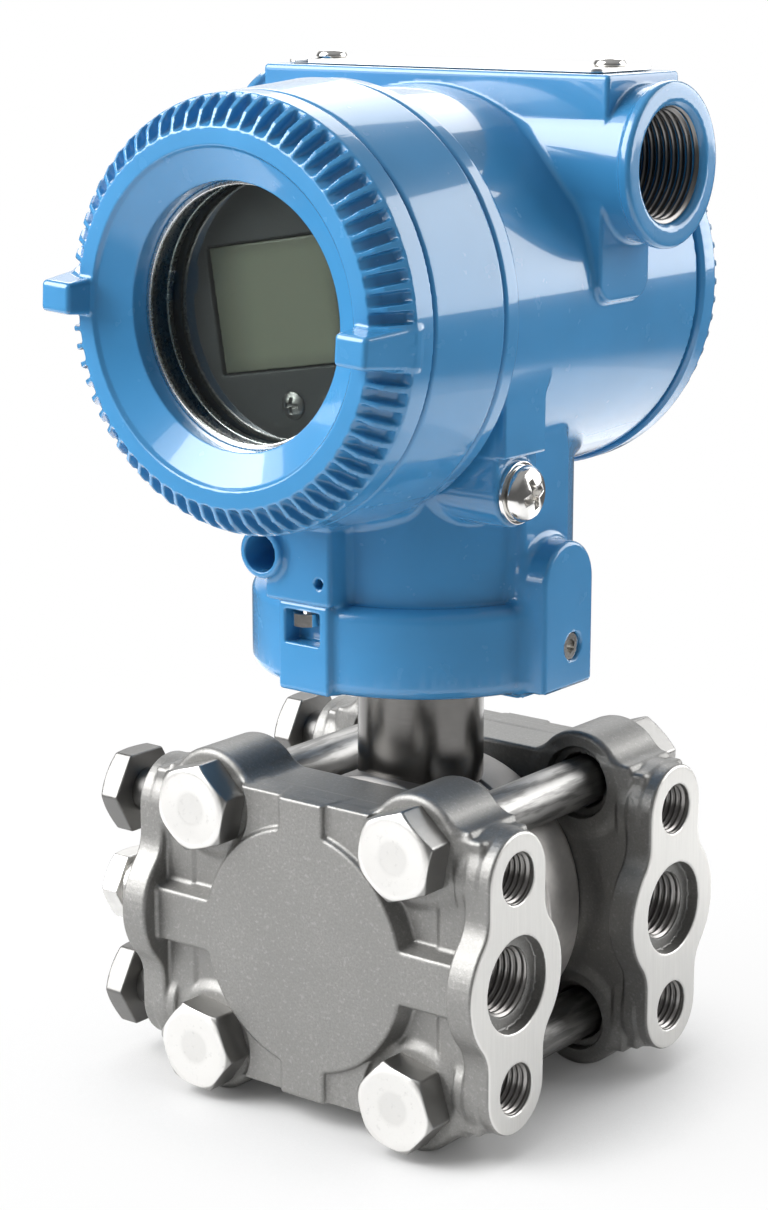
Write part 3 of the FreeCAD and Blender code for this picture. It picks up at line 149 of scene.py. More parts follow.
# Sizes of the flange bolts, their nuts and the pad screws
HEAD_FLATS = 16.0
HEAD_WASHER_R = 7.8

# Triangles that the larger pieces come down to
HOUSING_TRIANGLES = 190000
FLANGE_TRIANGLES = 120000
WINDOW_COVER_TRIANGLES = 150000
BLIND_COVER_TRIANGLES = 100000
DISPLAY_TRIANGLES = 30000
PLATE_TRIANGLES = 24000

# Grey of the floor in its light on the part, and of what the camera sees near the part
FLOOR_GREY = 0.82
SEEN_GREY = 0.58
# Light that the floor near the part adds to what the camera sees of it
FLOOR_LIFT = 0.04
# Reach of the contact shadow, in metres
CONTACT_REACH = 0.045
# Level of the dim parts of the studio in mirrors
MIRROR_DIM = 0.12
# Soft boxes: name, place, point they face, width, height and watts
LAMPS = (("front_box", (-590, -633, 658), (0, 0, 140), 680, 800, 12.0),
         ("front_halo", (-610, -655, 676), (0, 0, 140), 1060, 1160, 12.0),
         ("rear_right_box", (503, 692, 436), (0, 0, 150), 800, 660, 7.6),
         ("rear_left_box", (-391, 627, 671), (0, 0, 150), 620, 420, 2.4),
         ("low_box", (65, 188, 6), (65, 187, 100), 250, 145, 0.06))

# Camera of the photograph, from the fit of the flange spacings
CAMERA_PLACE = (324.7, -430.5, 223.4)
CAMERA_TILT_DEG = 76.72
CAMERA_TURN_DEG = 37.8
CAMERA_LENS = 83.96
# Level direction in which the camera looks, as x and y
LOOK_X = -0.61
LOOK_Y = 0.79


def length(name, text, default, low=0.0, high=1.0):
    """Float property that holds a length."""
    return bpy.props.FloatProperty(name=name, description=text, default=default, min=low,
                                   max=high, unit="LENGTH", precision=5)


def colour(name, text, default):
    """Property that holds a linear colour."""
    return bpy.props.FloatVectorProperty(name=name, description=text, default=default, size=3,
                                         min=0.0, max=1.0, subtype="COLOR")


def share(name, text, default):
    """Property that holds a number from 0 to 1."""
    return bpy.props.FloatProperty(name=name, description=text, default=default, min=0.0,
                                   max=1.0, subtype="FACTOR")


class TransmitterSizes(bpy.types.PropertyGroup):
    """Sizes of the looks that a user would change."""
    casting_step: length("Housing mesh", "Grid step of the housing surface", 0.0005)
    flange_step: length("Flange mesh", "Grid step of the flange surfaces", 0.00048)
    cover_step: length("Cover mesh", "Grid step of the cover surfaces", 0.00036)
    port_pitch: length("Port pitch", "Pitch of the process port thread", 0.0014)
    pad_pitch: length("Pad hole pitch", "Pitch of the mounting hole thread", 0.0012)
    conduit_pitch: length("Conduit pitch", "Pitch of the conduit thread", 0.0016)


class TransmitterColours(bpy.types.PropertyGroup):
    """Colours of the looks that a user would change."""
    paint: colour("Paint", "Blue paint of the housing", (0.040, 0.205, 0.420))
    paint_gloss: share("Paint roughness", "Roughness of the paint", 0.22)
    cast_steel: colour("Cast steel", "Blasted surface of the flanges", (0.27, 0.267, 0.258))
    bright_steel: colour("Bright steel", "Machined steel", (0.74, 0.73, 0.71))
    dark_steel: colour("Dark steel", "Polished neck and cell", (0.30, 0.29, 0.28))
    screen: colour("Screen", "Idle liquid crystal panel", (0.235, 0.245, 0.185))
    case: colour("Display case", "Dark display moulding", (0.045, 0.046, 0.048))


# Distance fields

def hypot(a, b):
    """Length of the vector (a, b)."""
    return np.sqrt(a * a + b * b)


def capped(radial, along, r, start, end, edge):
    """Distance to a round bar of radius r from start to end, its rims rounded by edge."""
    side = radial - r + edge
    cap = np.maximum(start - along, along - end) + edge
    return (np.minimum(np.maximum(side, cap), 0)
            + hypot(np.maximum(side, 0), np.maximum(cap, 0)) - edge)


def brick(x, y, z, low, high, edge):
    """Distance to a box between two corners, its edges rounded by edge."""
    a = np.maximum(low[0] - x, x - high[0]) + edge
    b = np.maximum(low[1] - y, y - high[1]) + edge
    c = np.maximum(low[2] - z, z - high[2]) + edge
    inside = np.minimum(np.maximum(np.maximum(a, b), c), 0)
    outside = np.sqrt(np.maximum(a, 0) ** 2 + np.maximum(b, 0) ** 2 + np.maximum(c, 0) ** 2)
    return inside + outside - edge


def drilled(radial, r, along, start, end):
    """Distance to a drilled hole of radius r from start to end, its rims sharp."""
    return np.maximum(radial - r, np.maximum(start - along, along - end))


def plate(u, v, along, u_range, v_range, along_range, corner, edge):
    """Distance to a plate whose outline has rounded corners in u and v."""
    a = np.maximum(u_range[0] - u, u - u_range[1]) + corner
    b = np.maximum(v_range[0] - v, v - v_range[1]) + corner
    outline = (np.minimum(np.maximum(a, b), 0)
               + hypot(np.maximum(a, 0), np.maximum(b, 0)) - corner)
    return capped(outline, along, 0.0, along_range[0], along_range[1], edge)


def join(a, b, r):
    """Union of two fields with a fillet of radius r in the hollow corner."""
    return np.maximum(r, np.minimum(a, b)) - hypot(np.maximum(r - a, 0), np.maximum(r - b, 0))


def cut(a, b, r):
    """Field a less field b, the edge between them rounded by r."""
    return -join(-a, b, r)


def smooth_max(first, *others, r):
    """Larger of several fields, the edge between them rounded by r."""
    for item in others:
        first = -join(-first, -item, r)
    return first


class Outline:
    """Distance to a closed outline in a plane, its corners softened, kept as a table.

    The distance to each side of the polygon is worked out on a grid, the nearest one is kept
    with the sign of the crossing rule, and the table is blurred by a short window both ways.
    """

    def __init__(self, points, soft, step=0.06, margin=3.0):
        points = np.array(points, dtype=float)
        self.low = points.min(axis=0) - margin
        count = np.ceil((points.max(axis=0) + margin - self.low) / step).astype(int) + 1
        self.step = step
        u = self.low[0] + step * np.arange(count[0])[:, None]
        v = self.low[1] + step * np.arange(count[1])[None, :]
        nearest = np.full((count[0], count[1]), 1e9)
        inside = np.zeros(nearest.shape, dtype=bool)
        for (u0, v0), (u1, v1) in zip(points, np.roll(points, -1, axis=0)):
            du, dv = u1 - u0, v1 - v0
            t = np.clip(((u - u0) * du + (v - v0) * dv) / (du * du + dv * dv + 1e-12), 0, 1)
            nearest = np.minimum(nearest, (u - u0 - t * du) ** 2 + (v - v0 - t * dv) ** 2)
            if v1 != v0:
                crossing = (v0 > v) != (v1 > v)
                inside ^= crossing & (u < u0 + (v - v0) * du / dv)
        table = np.where(inside, -1, 1) * np.sqrt(nearest)
        width = max(1, int(round(soft / step)))
        for _ in range(2):
            table = self.blurred(table, width, 0)
            table = self.blurred(table, width, 1)
        self.table = table.astype(np.float32)

    @staticmethod
    def blurred(table, width, axis):
        """Mean of the table over 2 * width + 1 places along one axis."""
        pad = [(0, 0), (0, 0)]
        pad[axis] = (width + 1, width)
        total = np.cumsum(np.pad(table, pad, mode="reflect", reflect_type="odd"), axis=axis)
        upper = np.take(total, range(2 * width + 1, total.shape[axis]), axis=axis)
        lower = np.take(total, range(0, total.shape[axis] - 2 * width - 1), axis=axis)
        return (upper - lower) / (2 * width + 1)

    def __call__(self, u, v):
        top = np.array(self.table.shape) - 1.001
        a = (u - self.low[0]) / self.step
        b = (v - self.low[1]) / self.step
        a_in = np.clip(a, 0, top[0])
        b_in = np.clip(b, 0, top[1])
        beyond = hypot(a - a_in, b - b_in) * self.step
        i = a_in.astype(np.int32)
        j = b_in.astype(np.int32)
        s = a_in - i
        t = b_in - j
        near = self.table[i, j] * (1 - t) + self.table[i, j + 1] * t
        far = self.table[i + 1, j] * (1 - t) + self.table[i + 1, j + 1] * t
        return near * (1 - s) + far * s + beyond


# Meshes from fields

def sampled(field, low, step, shape, block=16):
    """Field values on a grid. Blocks far from the surface keep the value of their middle."""
    axes = [low[i] + step * np.arange(shape[i]) for i in range(3)]
    starts = [np.arange(0, n, block) for n in shape]
    mids = [low[i] + step * (starts[i] + (block - 1) / 2) for i in range(3)]
    coarse = field(*np.ix_(*mids))
    coarse = np.broadcast_to(coarse, [len(s) for s in starts])
    values = np.empty(shape, dtype=np.float32)
    reach = step * block * 0.95
    for i, j, k in np.ndindex(coarse.shape):
        a, b, c = starts[0][i], starts[1][j], starts[2][k]
        part = values[a:a + block, b:b + block, c:c + block]
        if abs(coarse[i, j, k]) > reach:
            part[...] = coarse[i, j, k]
        else:
            part[...] = field(*np.ix_(axes[0][a:a + block], axes[1][b:b + block],
                                      axes[2][c:c + block]))
    return values


def surface_net(values, low, step):
    """Points and four-sided faces of the zero surface.

    Each grid cell that the surface crosses gets one point, the mean of the crossings on its
    twelve edges, and each grid edge that changes sign gets the face of its four cells.
    """
    inside = values < 0
    cells_shape = [n - 1 for n in values.shape]
    count = np.zeros(cells_shape, dtype=np.uint8)
    for i, j, k in np.ndindex(2, 2, 2):
        count += inside[i:i + cells_shape[0], j:j + cells_shape[1], k:k + cells_shape[2]]
    cells = np.argwhere((count > 0) & (count < 8))
    index = np.full(cells_shape, -1, dtype=np.int32)
    index[tuple(cells.T)] = np.arange(len(cells))
    total = np.zeros((len(cells), 3))
    hits = np.zeros(len(cells))
    for axis in range(3):
        unit, u, v = np.roll(np.eye(3, dtype=int), -axis, axis=0)
        for p, q in np.ndindex(2, 2):
            foot = p * u + q * v
            a = values[tuple((cells + foot).T)]
            b = values[tuple((cells + foot + unit).T)]
            crosses = (a < 0) != (b < 0)
            t = np.where(crosses, a / np.where(crosses, a - b, 1), 0)
            total += crosses[:, None] * (foot + t[:, None] * unit)
            hits += crosses
    points = np.array(low) + step * (cells + total / hits[:, None])
    faces = []
    for axis in range(3):
        unit, u, v = np.roll(np.eye(3, dtype=int), -axis, axis=0)
        upper = [slice(int(n), None) for n in unit]
        lower = [slice(None, -1) if n else slice(None) for n in unit]
        change = inside[tuple(lower)] != inside[tuple(upper)]
        edges = np.argwhere(change)
        keep = np.ones(len(edges), dtype=bool)
        for side in (u, v):
            at = edges @ side
            keep &= (at >= 1) & (at <= (np.array(values.shape) @ side) - 2)
        edges = edges[keep]
        quad = np.stack([index[tuple((edges - u - v).T)], index[tuple((edges - v).T)],
                         index[tuple(edges.T)], index[tuple((edges - u).T)]], axis=1)
        outward = inside[tuple(edges.T)]
        faces.append(np.where(outward[:, None], quad, quad[:, ::-1]))
    return points, np.concatenate(faces)


def slope(field, points, reach):
    """Gradient of a field at points, by central differences."""
    x, y, z = points.T
    return np.stack([field(x + reach, y, z) - field(x - reach, y, z),
                     field(x, y + reach, z) - field(x, y - reach, z),
                     field(x, y, z + reach) - field(x, y, z - reach)], axis=1) / (2 * reach)


def settled(field, points, rounds=3):
    """Points moved onto the zero surface along the slope of the field."""
    for _ in range(rounds):
        lean = slope(field, points, 0.03)
        size = np.maximum((lean * lean).sum(axis=1), 0.05)
        step = field(*points.T) / size
        points = points - np.clip(step, -0.3, 0.3)[:, None] * lean
    return points


def write_mesh(mesh, points, faces):
    """Fills a mesh with points in millimetres and faces of one size."""
    count, corners = faces.shape
    mesh.vertices.add(len(points))
    mesh.vertices.foreach_set("co", (points * MM).astype(np.float32).ravel())
    mesh.loops.add(count * corners)
    mesh.loops.foreach_set("vertex_index", faces.astype(np.int32).ravel())
    mesh.polygons.add(count)
    mesh.polygons.foreach_set("loop_start", np.arange(0, count * corners, corners, dtype=np.int32))
    mesh.update(calc_edges=True)
    mesh.validate()


def new_object(name, points, faces, normals=None, smooth=True):
    """Mesh object at the origin, with given normals at its points if there are any."""
    mesh = bpy.data.meshes.new(name)
    write_mesh(mesh, points, faces)
    mesh.polygons.foreach_set("use_smooth", np.full(len(mesh.polygons), smooth))
    if normals is not None:
        size = np.maximum(np.linalg.norm(normals, axis=1, keepdims=True), 1e-9)
        mesh.normals_split_custom_set_from_vertices((normals / size).tolist())
    obj = bpy.data.objects.new(name, mesh)
    bpy.context.scene.collection.objects.link(obj)
    return obj


def thinned(points, faces, target):
    """The same surface with about target triangles, by collapsing the flattest edges."""
    count = len(faces) * 2
    if count <= target:
        return points, triangles(faces)
    obj = new_object("thinning", points, faces)
    modifier = obj.modifiers.new("thin", "DECIMATE")
    modifier.ratio = target / count
    mesh = bpy.data.meshes.new_from_object(
        obj.evaluated_get(bpy.context.evaluated_depsgraph_get()))
    mesh.calc_loop_triangles()
    kept = np.empty(len(mesh.vertices) * 3, dtype=np.float32)
    mesh.vertices.foreach_get("co", kept)
    corners = np.empty(len(mesh.loop_triangles) * 3, dtype=np.int32)
    mesh.loop_triangles.foreach_get("vertices", corners)
    used = obj.data
    bpy.data.objects.remove(obj)
    bpy.data.meshes.remove(used)
    bpy.data.meshes.remove(mesh)
    return kept.reshape(-1, 3) / MM, corners.reshape(-1, 3)


def field_mesh(field, low, high, step, target):
    """Points, triangles and normals of the zero surface of a field inside a box."""
    low = np.array(low, dtype=float)
    shape = np.ceil((np.array(high) - low) / step).astype(int) + 1
    points, faces = surface_net(sampled(field, low, step, tuple(shape)), low, step)
    points = settled(field, points)
    points, faces = thinned(points, faces, target)
    points = settled(field, points, 2)
    return points, faces, slope(field, points, 0.08)


# Surfaces from grids

def grid_faces(rows, columns):
    """Faces of a grid of points, rows by columns, the columns closed into a ring."""
    left = np.arange(rows * columns).reshape(rows, columns)
    right = np.roll(left, -1, axis=1)
    return np.stack([left[:-1], right[:-1], right[1:], left[1:]], axis=-1).reshape(-1, 4)


def triangles(quads):
    """Each four-sided face as two triangles."""
    return np.concatenate([quads[:, :3], quads[:, [0, 2, 3]]])


def full_turn(columns):
    """Angles of that many columns round a circle."""
    return 2 * math.pi * np.arange(columns) / columns


def ringed_surface(name, radius, along, angle, centre, axis):
    """Object made of rings about an axis, one for each row of radius and along."""
    along = np.repeat(along, len(angle), axis=1)
    u, v = radius * np.cos(angle), radius * np.sin(angle)
    order = {"x": (along, u, v), "y": (v, along, u), "z": (u, v, along)}[axis]
    points = np.stack(order, axis=-1).reshape(-1, 3) + np.array(centre)
    return new_object(name, points, grid_faces(len(along), len(angle)))


def turned_surface(name, profile, centre, axis, columns=160):
    """Surface of revolution: each (radius, along) point of the profile swept round an axis."""
    profile = np.array(profile, dtype=float)
    return ringed_surface(name, profile[:, :1], profile[:, 1:], full_turn(columns), centre, axis)


def filleted(points, radius, steps=5):
    """A profile with each inner corner replaced by an arc of the radius, or what fits."""
    points = [np.array(p, dtype=float) for p in points]
    out = [points[0]]
    for before, corner, after in zip(points, points[1:], points[2:]):
        a, b = before - corner, after - corner
        size_a, size_b = np.linalg.norm(a), np.linalg.norm(b)
        if size_a < 1e-6 or size_b < 1e-6:
            continue
        a, b = a / size_a, b / size_b
        half = math.acos(float(np.clip(a @ b, -1, 1))) / 2
        if half > 1.55 or half < 0.02:
            out.append(corner)
            continue
        reach = min(radius / math.tan(half), size_a * 0.48, size_b * 0.48)
        middle = corner + (a + b) / np.linalg.norm(a + b) * reach / math.cos(half)
        start, end = corner + a * reach - middle, corner + b * reach - middle
        for t in np.linspace(0, 1, steps):
            spoke = start * (1 - t) + end * t
            out.append(middle + spoke / np.linalg.norm(spoke) * np.linalg.norm(start))
    out.append(points[-1])
    return np.array(out)


def thread_surface(name, centre, axis, start, end, outer, depth, pitch, columns=96, per_turn=8):
    """Helical thread in a bore.

    The radius falls from outer by a rounded ridge that moves one pitch along the axis in each
    turn, and fades out at both ends.
    """
    rows = int(abs(end - start) / pitch * per_turn) + 1
    along = np.linspace(start, end, rows)[:, None]
    angle = full_turn(columns)
    phase = along / pitch - angle / (2 * math.pi)
    wave = np.abs((phase % 1.0) * 2 - 1)
    ridge = np.clip(1.25 - 1.5 * wave, 0, 1)
    fade = np.clip(np.minimum(abs(along - start), abs(along - end)) / (0.6 * pitch), 0, 1)
    return ringed_surface(name, outer - depth * ridge * fade, along, angle, centre, axis)


# Castings, covers and the display

def housing_field(x, y, z):
    """Distance to the painted housing casting.

    Round bars and rounded boxes for barrel, ring, band, conduit tube, block, column, collar and
    pads, each joined to the rest with its own fillet, less the chambers and bores.
    """
    rise = z - BARREL_Z
    about_barrel = hypot(x, rise)
    about_neck = hypot(x, y)
    about_conduit = hypot(y - CONDUIT_Y, z - CONDUIT_Z)
    side = np.abs(x)
    barrel = capped(about_barrel, y, BARREL_R, RING_REAR_Y - 1, BARREL_REAR_Y, 0.3)
    ring_r = about_barrel - (y - RING_FRONT_Y) * 0.0757
    ring = capped(ring_r, y, 39.5, RING_FRONT_Y, RING_REAR_Y, 0.7)
    band = capped(about_barrel, y, 40.6, RING_REAR_Y + 0.5, BAND_END_Y, 1.0)
    body = join(barrel, np.minimum(ring, band), 0.25)
    tube = capped(about_conduit, side, TUBE_R, -1, 46.9, 0.6)
    hub = capped(about_conduit, side, HUB_R, HUB_START_X, CONDUIT_HALF_L, 0.9)
    block = brick(side, y, z, (-1, 1.6, 180), (BLOCK_HALF_X, 25.7, BLOCK_TOP_Z), 0.9)
    body = join(body, join(tube, hub, 0.6), 1.3)
    body = join(body, block, 0.5)
    column = capped(about_neck, z, COLUMN_R, COLLAR_Z, BARREL_Z, 0.5)
    column = np.maximum(column, CHAMBER_R - np.where(y < 0, about_barrel, 60))
    body = join(body, column, 2.2)
    collar = capped(about_neck, z, COLLAR_R, COLLAR_Z, COLLAR_TOP_Z, 2.6)
    body = join(body, collar, 0.7)
    boss = capped(hypot(y - GROUND_Y, z - GROUND_Z), x, 6.6, 0, GROUND_X, 0.5)
    pad = brick(x, y, z, (0, -22.8, GROUND_Z), (GROUND_X, -9.8, 153.4), 0.8)
    strip = brick(x, y, z, (0, -22.8, 132.1), (GROUND_X + 2.0, -9.8, 153.4), 0.5)
    ground = join(join(boss, pad, 0.5), strip, 0.3)
    pilaster = plate(y, z, x, (-9.0, 6.4), (80, 134.9), (0, 30.6), 5.0, 1.2)
    tab = plate(y, z, x, (1.2, 17.8), (158.2, 180), (0, 39.9), 4.0, 0.7)
    panel = plate(y, z, x, (-9.5, 6.6), (60, 113.8), (0, 36.0), 8.0, 0.9)
    panel = np.maximum(panel, COLLAR_Z + 0.4 - z)
    lock_pad = brick(x, y, z, (-8.0, -34.3, COLLAR_Z), (4.2, 0, COLLAR_TOP_Z), 0.8)
    lock_block = brick(x, y, z, (-10.6, -34.9, COLLAR_TOP_Z), (5.0, 0, 124.9), 0.8)
    spout = capped(hypot(x - SPOUT_X, z - SPOUT_Z), y, 4.9, -36.6, 0, 0.7)
    lock = join(join(lock_pad, lock_block, 0.3), spout, 1.0)
    for shape, fillet in ((ground, 1.1), (pilaster, 1.5), (tab, 1.0), (panel, 1.8), (lock, 1.2)):
        body = join(body, shape, fillet)
    return housing_cuts(body, x, y, z, about_barrel, about_neck, about_conduit, side)


def housing_cuts(body, x, y, z, about_barrel, about_neck, about_conduit, side):
    """The housing's field less its chambers, bores and screw holes."""
    front = drilled(about_barrel, CHAMBER_R, y, -49.0, -4.0)
    front_mouth = drilled(about_barrel, COVER_BORE_R, y, -50.0, -38.9)
    rear = drilled(about_barrel, REAR_CHAMBER_R, y, 1.0, 38.0)
    rear_mouth = drilled(about_barrel, COVER_BORE_R, y, 27.9, 39.0)
    hollow = np.minimum(np.minimum(front, front_mouth), np.minimum(rear, rear_mouth))
    body = cut(body, hollow, 0.35)
    way = np.maximum(about_conduit - 9.0, side - 34.0)
    mouth = drilled(about_conduit, CONDUIT_BORE_R, side, 31.3, 60)
    cone = (about_conduit - (CONDUIT_BORE_R + 0.9) + (CONDUIT_HALF_L - side)) * 0.707
    body = cut(body, np.minimum(way, mouth), 0.25)
    body = cut(body, np.maximum(cone, 44.0 - side), 0.3)
    bore = drilled(about_neck, NECK_R + 0.05, z, 80, NECK_TOP_Z)
    cavity = drilled(about_neck, 18.0, z, NECK_TOP_Z, NECK_TOP_Z + 11.0)
    body = cut(body, np.minimum(bore, cavity), 0.5)
    set_hole = np.maximum(hypot(y, z - 93.3) - 2.7, 20 - x)
    ground_hole = np.maximum(hypot(y - GROUND_Y, z - GROUND_Z) - 2.55, 23.9 - x)
    spout_bore = drilled(hypot(x - SPOUT_X, z - SPOUT_Z), 3.6, y, -40, -27.6)
    pin_hole = drilled(hypot(x - 2.4, z - 106.9), 0.95, y, -40, -29.9)
    notch = brick(x, y, z, (-6.2, -40, 94.6), (2.0, -29.9, 101.0), 0.4)
    small = np.minimum(np.minimum(set_hole, ground_hole), np.minimum(spout_bore, pin_hole))
    body = cut(body, np.minimum(small, notch), 0.3)
    jam_hole = drilled(hypot(x + 2.1, y + 31.8), 1.6, z, 99, 109.6)
    screw_holes = np.maximum(hypot(side - PLATE_SCREW_X, y - TOP_MID_Y) - 1.55, 196.4 - z)
    wells = np.maximum(hypot(side - BUTTON_X, y - TOP_MID_Y) - 4.25, 194.9 - z)
    return cut(body, np.minimum(jam_hole, np.minimum(screw_holes, wells)), 0.2)


def pad_outline():
    """Outline of a flange pad as (along Y, along Z) from the middle of the pad."""
    mid_r, end_r, blend_r = PAD_MID_R, PAD_END_R, 8.0
    blend_y = end_r + blend_r
    blend_z = math.sqrt((mid_r + blend_r) ** 2 - blend_y ** 2)
    turn = math.atan2(blend_z * blend_r / (mid_r + blend_r), blend_y * blend_r / (mid_r + blend_r))
    lobe = [(end_r * math.cos(a), STUD_DZ + end_r * math.sin(a))
            for a in np.linspace(math.pi / 2, 0, 13)]
    hollow = [(blend_y - blend_r * math.cos(a), blend_z - blend_r * math.sin(a))
              for a in np.linspace(0, turn, 9)]
    middle = [(mid_r * math.cos(a), mid_r * math.sin(a)) for a in np.linspace(turn, 0, 9)]
    quarter = lobe + hollow + middle
    lower = [(y, -z) for y, z in quarter[::-1]][1:]
    half = quarter + lower
    return half + [(-y, z) for y, z in half[::-1]][1:-1]


PAD_OUTLINE = Outline(pad_outline(), 0.1)


def flange_field(x, y, z):
    """Distance to the front process flange.

    A rounded plate with a raised edge, a raised disc with four ribs whose sides lean, four bolt
    bosses and a machined pad on each side, joined with fillets, less the drilled holes.
    """
    rise = z - AXIS_Z
    side = np.abs(x)
    about_axis = hypot(x, rise)
    from_bolt = hypot(side - BOLT_X, np.abs(rise) - BOLT_Z)
    base = brick(side, y, np.abs(rise), (-9, RELIEF_Y, -9),
                 (FLANGE_HALF_X, FLANGE_INNER_Y, FLANGE_HALF_Z), 0.9)
    edge = brick(side, y, np.abs(rise), (-9, DISC_FACE_Y + 1.2, 19.0),
                 (19.0, -30, FLANGE_HALF_Z), 0.5)
    edge = smooth_max(edge, 10.4 - from_bolt, r=0.4)
    across = np.maximum(np.abs(rise) - RIB_HALF_W, side - FLANGE_HALF_X - 0.6)
    upright = np.maximum(side - RIB_HALF_W, np.abs(rise) - 40)
    outline = join(about_axis - DISC_R, np.minimum(across, upright), 0.8)
    draft = (y - DISC_FACE_Y) * 0.32
    raised = smooth_max((outline - draft) * 0.95, DISC_FACE_Y - y, y + 30.0, r=0.5)
    raised = smooth_max(raised, np.abs(rise) - FLANGE_HALF_Z, r=0.5)
    body = join(join(base, edge, 0.5), raised, 0.5)
    boss = capped(from_bolt, y, BOSS_R, BOSS_Y, FLANGE_INNER_Y, 1.3)
    body = join(body, boss, 1.8)
    lobes = PAD_OUTLINE(y - PORT_Y, rise)
    pad = capped(lobes, side, 0.0, FLANGE_HALF_X, PAD_X, 0.7)
    ends = capped(hypot(y - PORT_Y, np.abs(rise) - STUD_DZ), side, PAD_END_R, 34.4, 40.0, 0.7)
    web = brick(side, y, np.abs(rise), (30, PORT_Y - 7.5, -9), (40.0, PORT_Y + 7.5, 28.8), 1.0)
    body = join(body, join(pad, join(ends, web, 0.7), 0.7), 0.8)
    holes = flange_holes_field(x, y, rise, side, about_axis, from_bolt)
    return cut(body, holes, 0.35)


def flange_holes_field(x, y, rise, side, about_axis, from_bolt):
    """Distance to everything drilled out of the front flange."""
    hole_r = np.where(x > 0, 5.0, 4.7)
    studs = np.maximum(hypot(y - PORT_Y, np.abs(rise) - STUD_DZ) - hole_r, 28.0 - side)
    about_port = hypot(y - PORT_Y, rise)
    seat = np.maximum(about_port - PORT_SEAT_R, 40.5 - side)
    port = np.maximum(about_port - PORT_R, 24.0 - side)
    holes = np.minimum(studs, np.minimum(seat, port))
    bolt = from_bolt - 5.5
    relief = np.maximum(from_bolt - 7.2, -21.0 - y)
    chamber = np.maximum(about_axis - 22.0, -20.5 - y)
    return np.minimum(holes, np.minimum(bolt, np.minimum(relief, chamber)))


def cover_points(window):
    """(radius, out of the join) outline of a cover."""
    dish = COVER_FACE - 4.2
    outer = [(24.0, dish), (29.8, COVER_FACE - 0.8), (30.4, COVER_FACE), (33.6, COVER_FACE),
             (36.6, COVER_FACE - 1.6), (38.5, COVER_FACE - 4.0), (COVER_RING_R, 4.5), (39.5, 0)]
    skirt = [(35.95, 0), (35.95, -2.3), (33.9, -2.3), (33.9, -4.7), (35.95, -4.7),
             (35.95, -8.3), (31.0, -8.3)]
    if window:
        return outer + skirt + [(31.0, WINDOW_SEAT - 6.1), (28.1, WINDOW_SEAT - 6.1),
                                (28.1, WINDOW_SEAT), (24.0, WINDOW_SEAT)]
    outer[-1:] = [(39.4, 0.9), (38.75, 0.1)]
    return [(-3.0, dish)] + outer + skirt + [(31.0, dish - 4.0), (-3.0, dish - 4.0)]


VALLEY_FLOOR = Outline([(33.5, 10.7), (34.8, 7.7), (36.6, 5.8), (37.1, 5.0), (40.8, 4.6),
                        (44.0, 4.6), (44.0, 16.0), (33.5, 16.0)], 0.22)
WINDOW_PROFILE = Outline(cover_points(True), 0.12)
BLIND_PROFILE = Outline(cover_points(False), 0.12)


def cover_field(profile, turn_deg, lugs):
    """Field of a cover in its own frame: u and v across, out along the axis from the join.

    The profile turned about the axis, less a valley at each equal step of the angle, plus lugs.
    """
    turn = math.radians(turn_deg)
    pitch = 2 * math.pi / TOOTH_COUNT

    def field(u, v, out):
        radius = hypot(u, v)
        body = profile(radius, out)
        angle = np.arctan2(v, u) - turn
        phase = (angle / pitch) % 1.0 - 0.5
        across = np.abs(phase) * pitch * radius
        valley = -join(-(across - VALLEY_W / 2), -VALLEY_FLOOR(radius, out), 0.6)
        body = cut(body, valley, 0.22)
        cu = u * math.cos(turn) + v * math.sin(turn)
        cv = v * math.cos(turn) - u * math.sin(turn)
        return lugs(body, cu, cv, out)
    return field


def driving_lugs(body, u, v, out):
    """The cover's field with its two driving lugs, which widen down to their feet."""
    draft = np.maximum(LUG_TOP - out, 0)
    along = np.abs(u)
    lug = smooth_max(along - LUG_END_R - draft * 0.16, LUG_START_R - along - draft * 0.05,
                     np.abs(v) - LUG_HALF_W - draft * 0.09, out - LUG_TOP, 3.0 - out, r=0.9)
    return join(body, lug, 0.6)


def dish_lugs(body, u, v, out):
    """The blind cover's field with the two low lugs in its dish."""
    turn = math.radians(35)
    along = np.abs(u * math.cos(turn) + v * math.sin(turn))
    across = v * math.cos(turn) - u * math.sin(turn)
    lug = brick(along, across, out, (9.0, -3.0, 4.0), (22.0, 3.0, COVER_FACE), 1.0)
    return join(body, lug, 1.2)


def screen_axes(x, rise):
    """Place on the display measured along the screen's own width and height."""
    turn = math.radians(SCREEN_TURN_DEG)
    return (x * math.cos(turn) + rise * math.sin(turn),
            rise * math.cos(turn) - x * math.sin(turn) - SCREEN_RISE)


def screen_field(x, y, z):
    """Distance to the liquid crystal panel."""
    u, v = screen_axes(x, z - BARREL_Z)
    return brick(np.abs(u), y, np.abs(v), (-9, -43.2, -9),
                 (SCREEN_HALF_W, -41.65, SCREEN_HALF_H), 0.25)


def display_field(x, y, z):
    """Distance to the round display case, its sunk screen place and its screw holes."""
    rise = z - BARREL_Z
    u, v = screen_axes(x, rise)
    case = capped(hypot(x, rise), y, 29.0, DISPLAY_FACE_Y, DISPLAY_FACE_Y + 12.0, 0.9)
    half_w = SCREEN_HALF_W + 0.2
    half_h = SCREEN_HALF_H + 0.2
    recess = brick(u, y, v, (-half_w, -50, -half_h), (half_w, -41.6, half_h), 0.5)
    lip = np.abs(brick(u, y, v, (-half_w - 1.8, -60, -half_h - 1.8),
                       (half_w + 1.8, -30, half_h + 1.8), 1.5)) - 0.3
    case = cut(case, np.maximum(lip, -43.2 - y) + np.maximum(y + 43.3, 0) * 5, 0.1)
    holes = np.minimum(*[hypot(x - at, rise - up) for at, up in DISPLAY_SCREWS]) - 1.6
    return cut(cut(case, recess, 0.35), np.maximum(holes, -60 - y), 0.1)


# Node trees

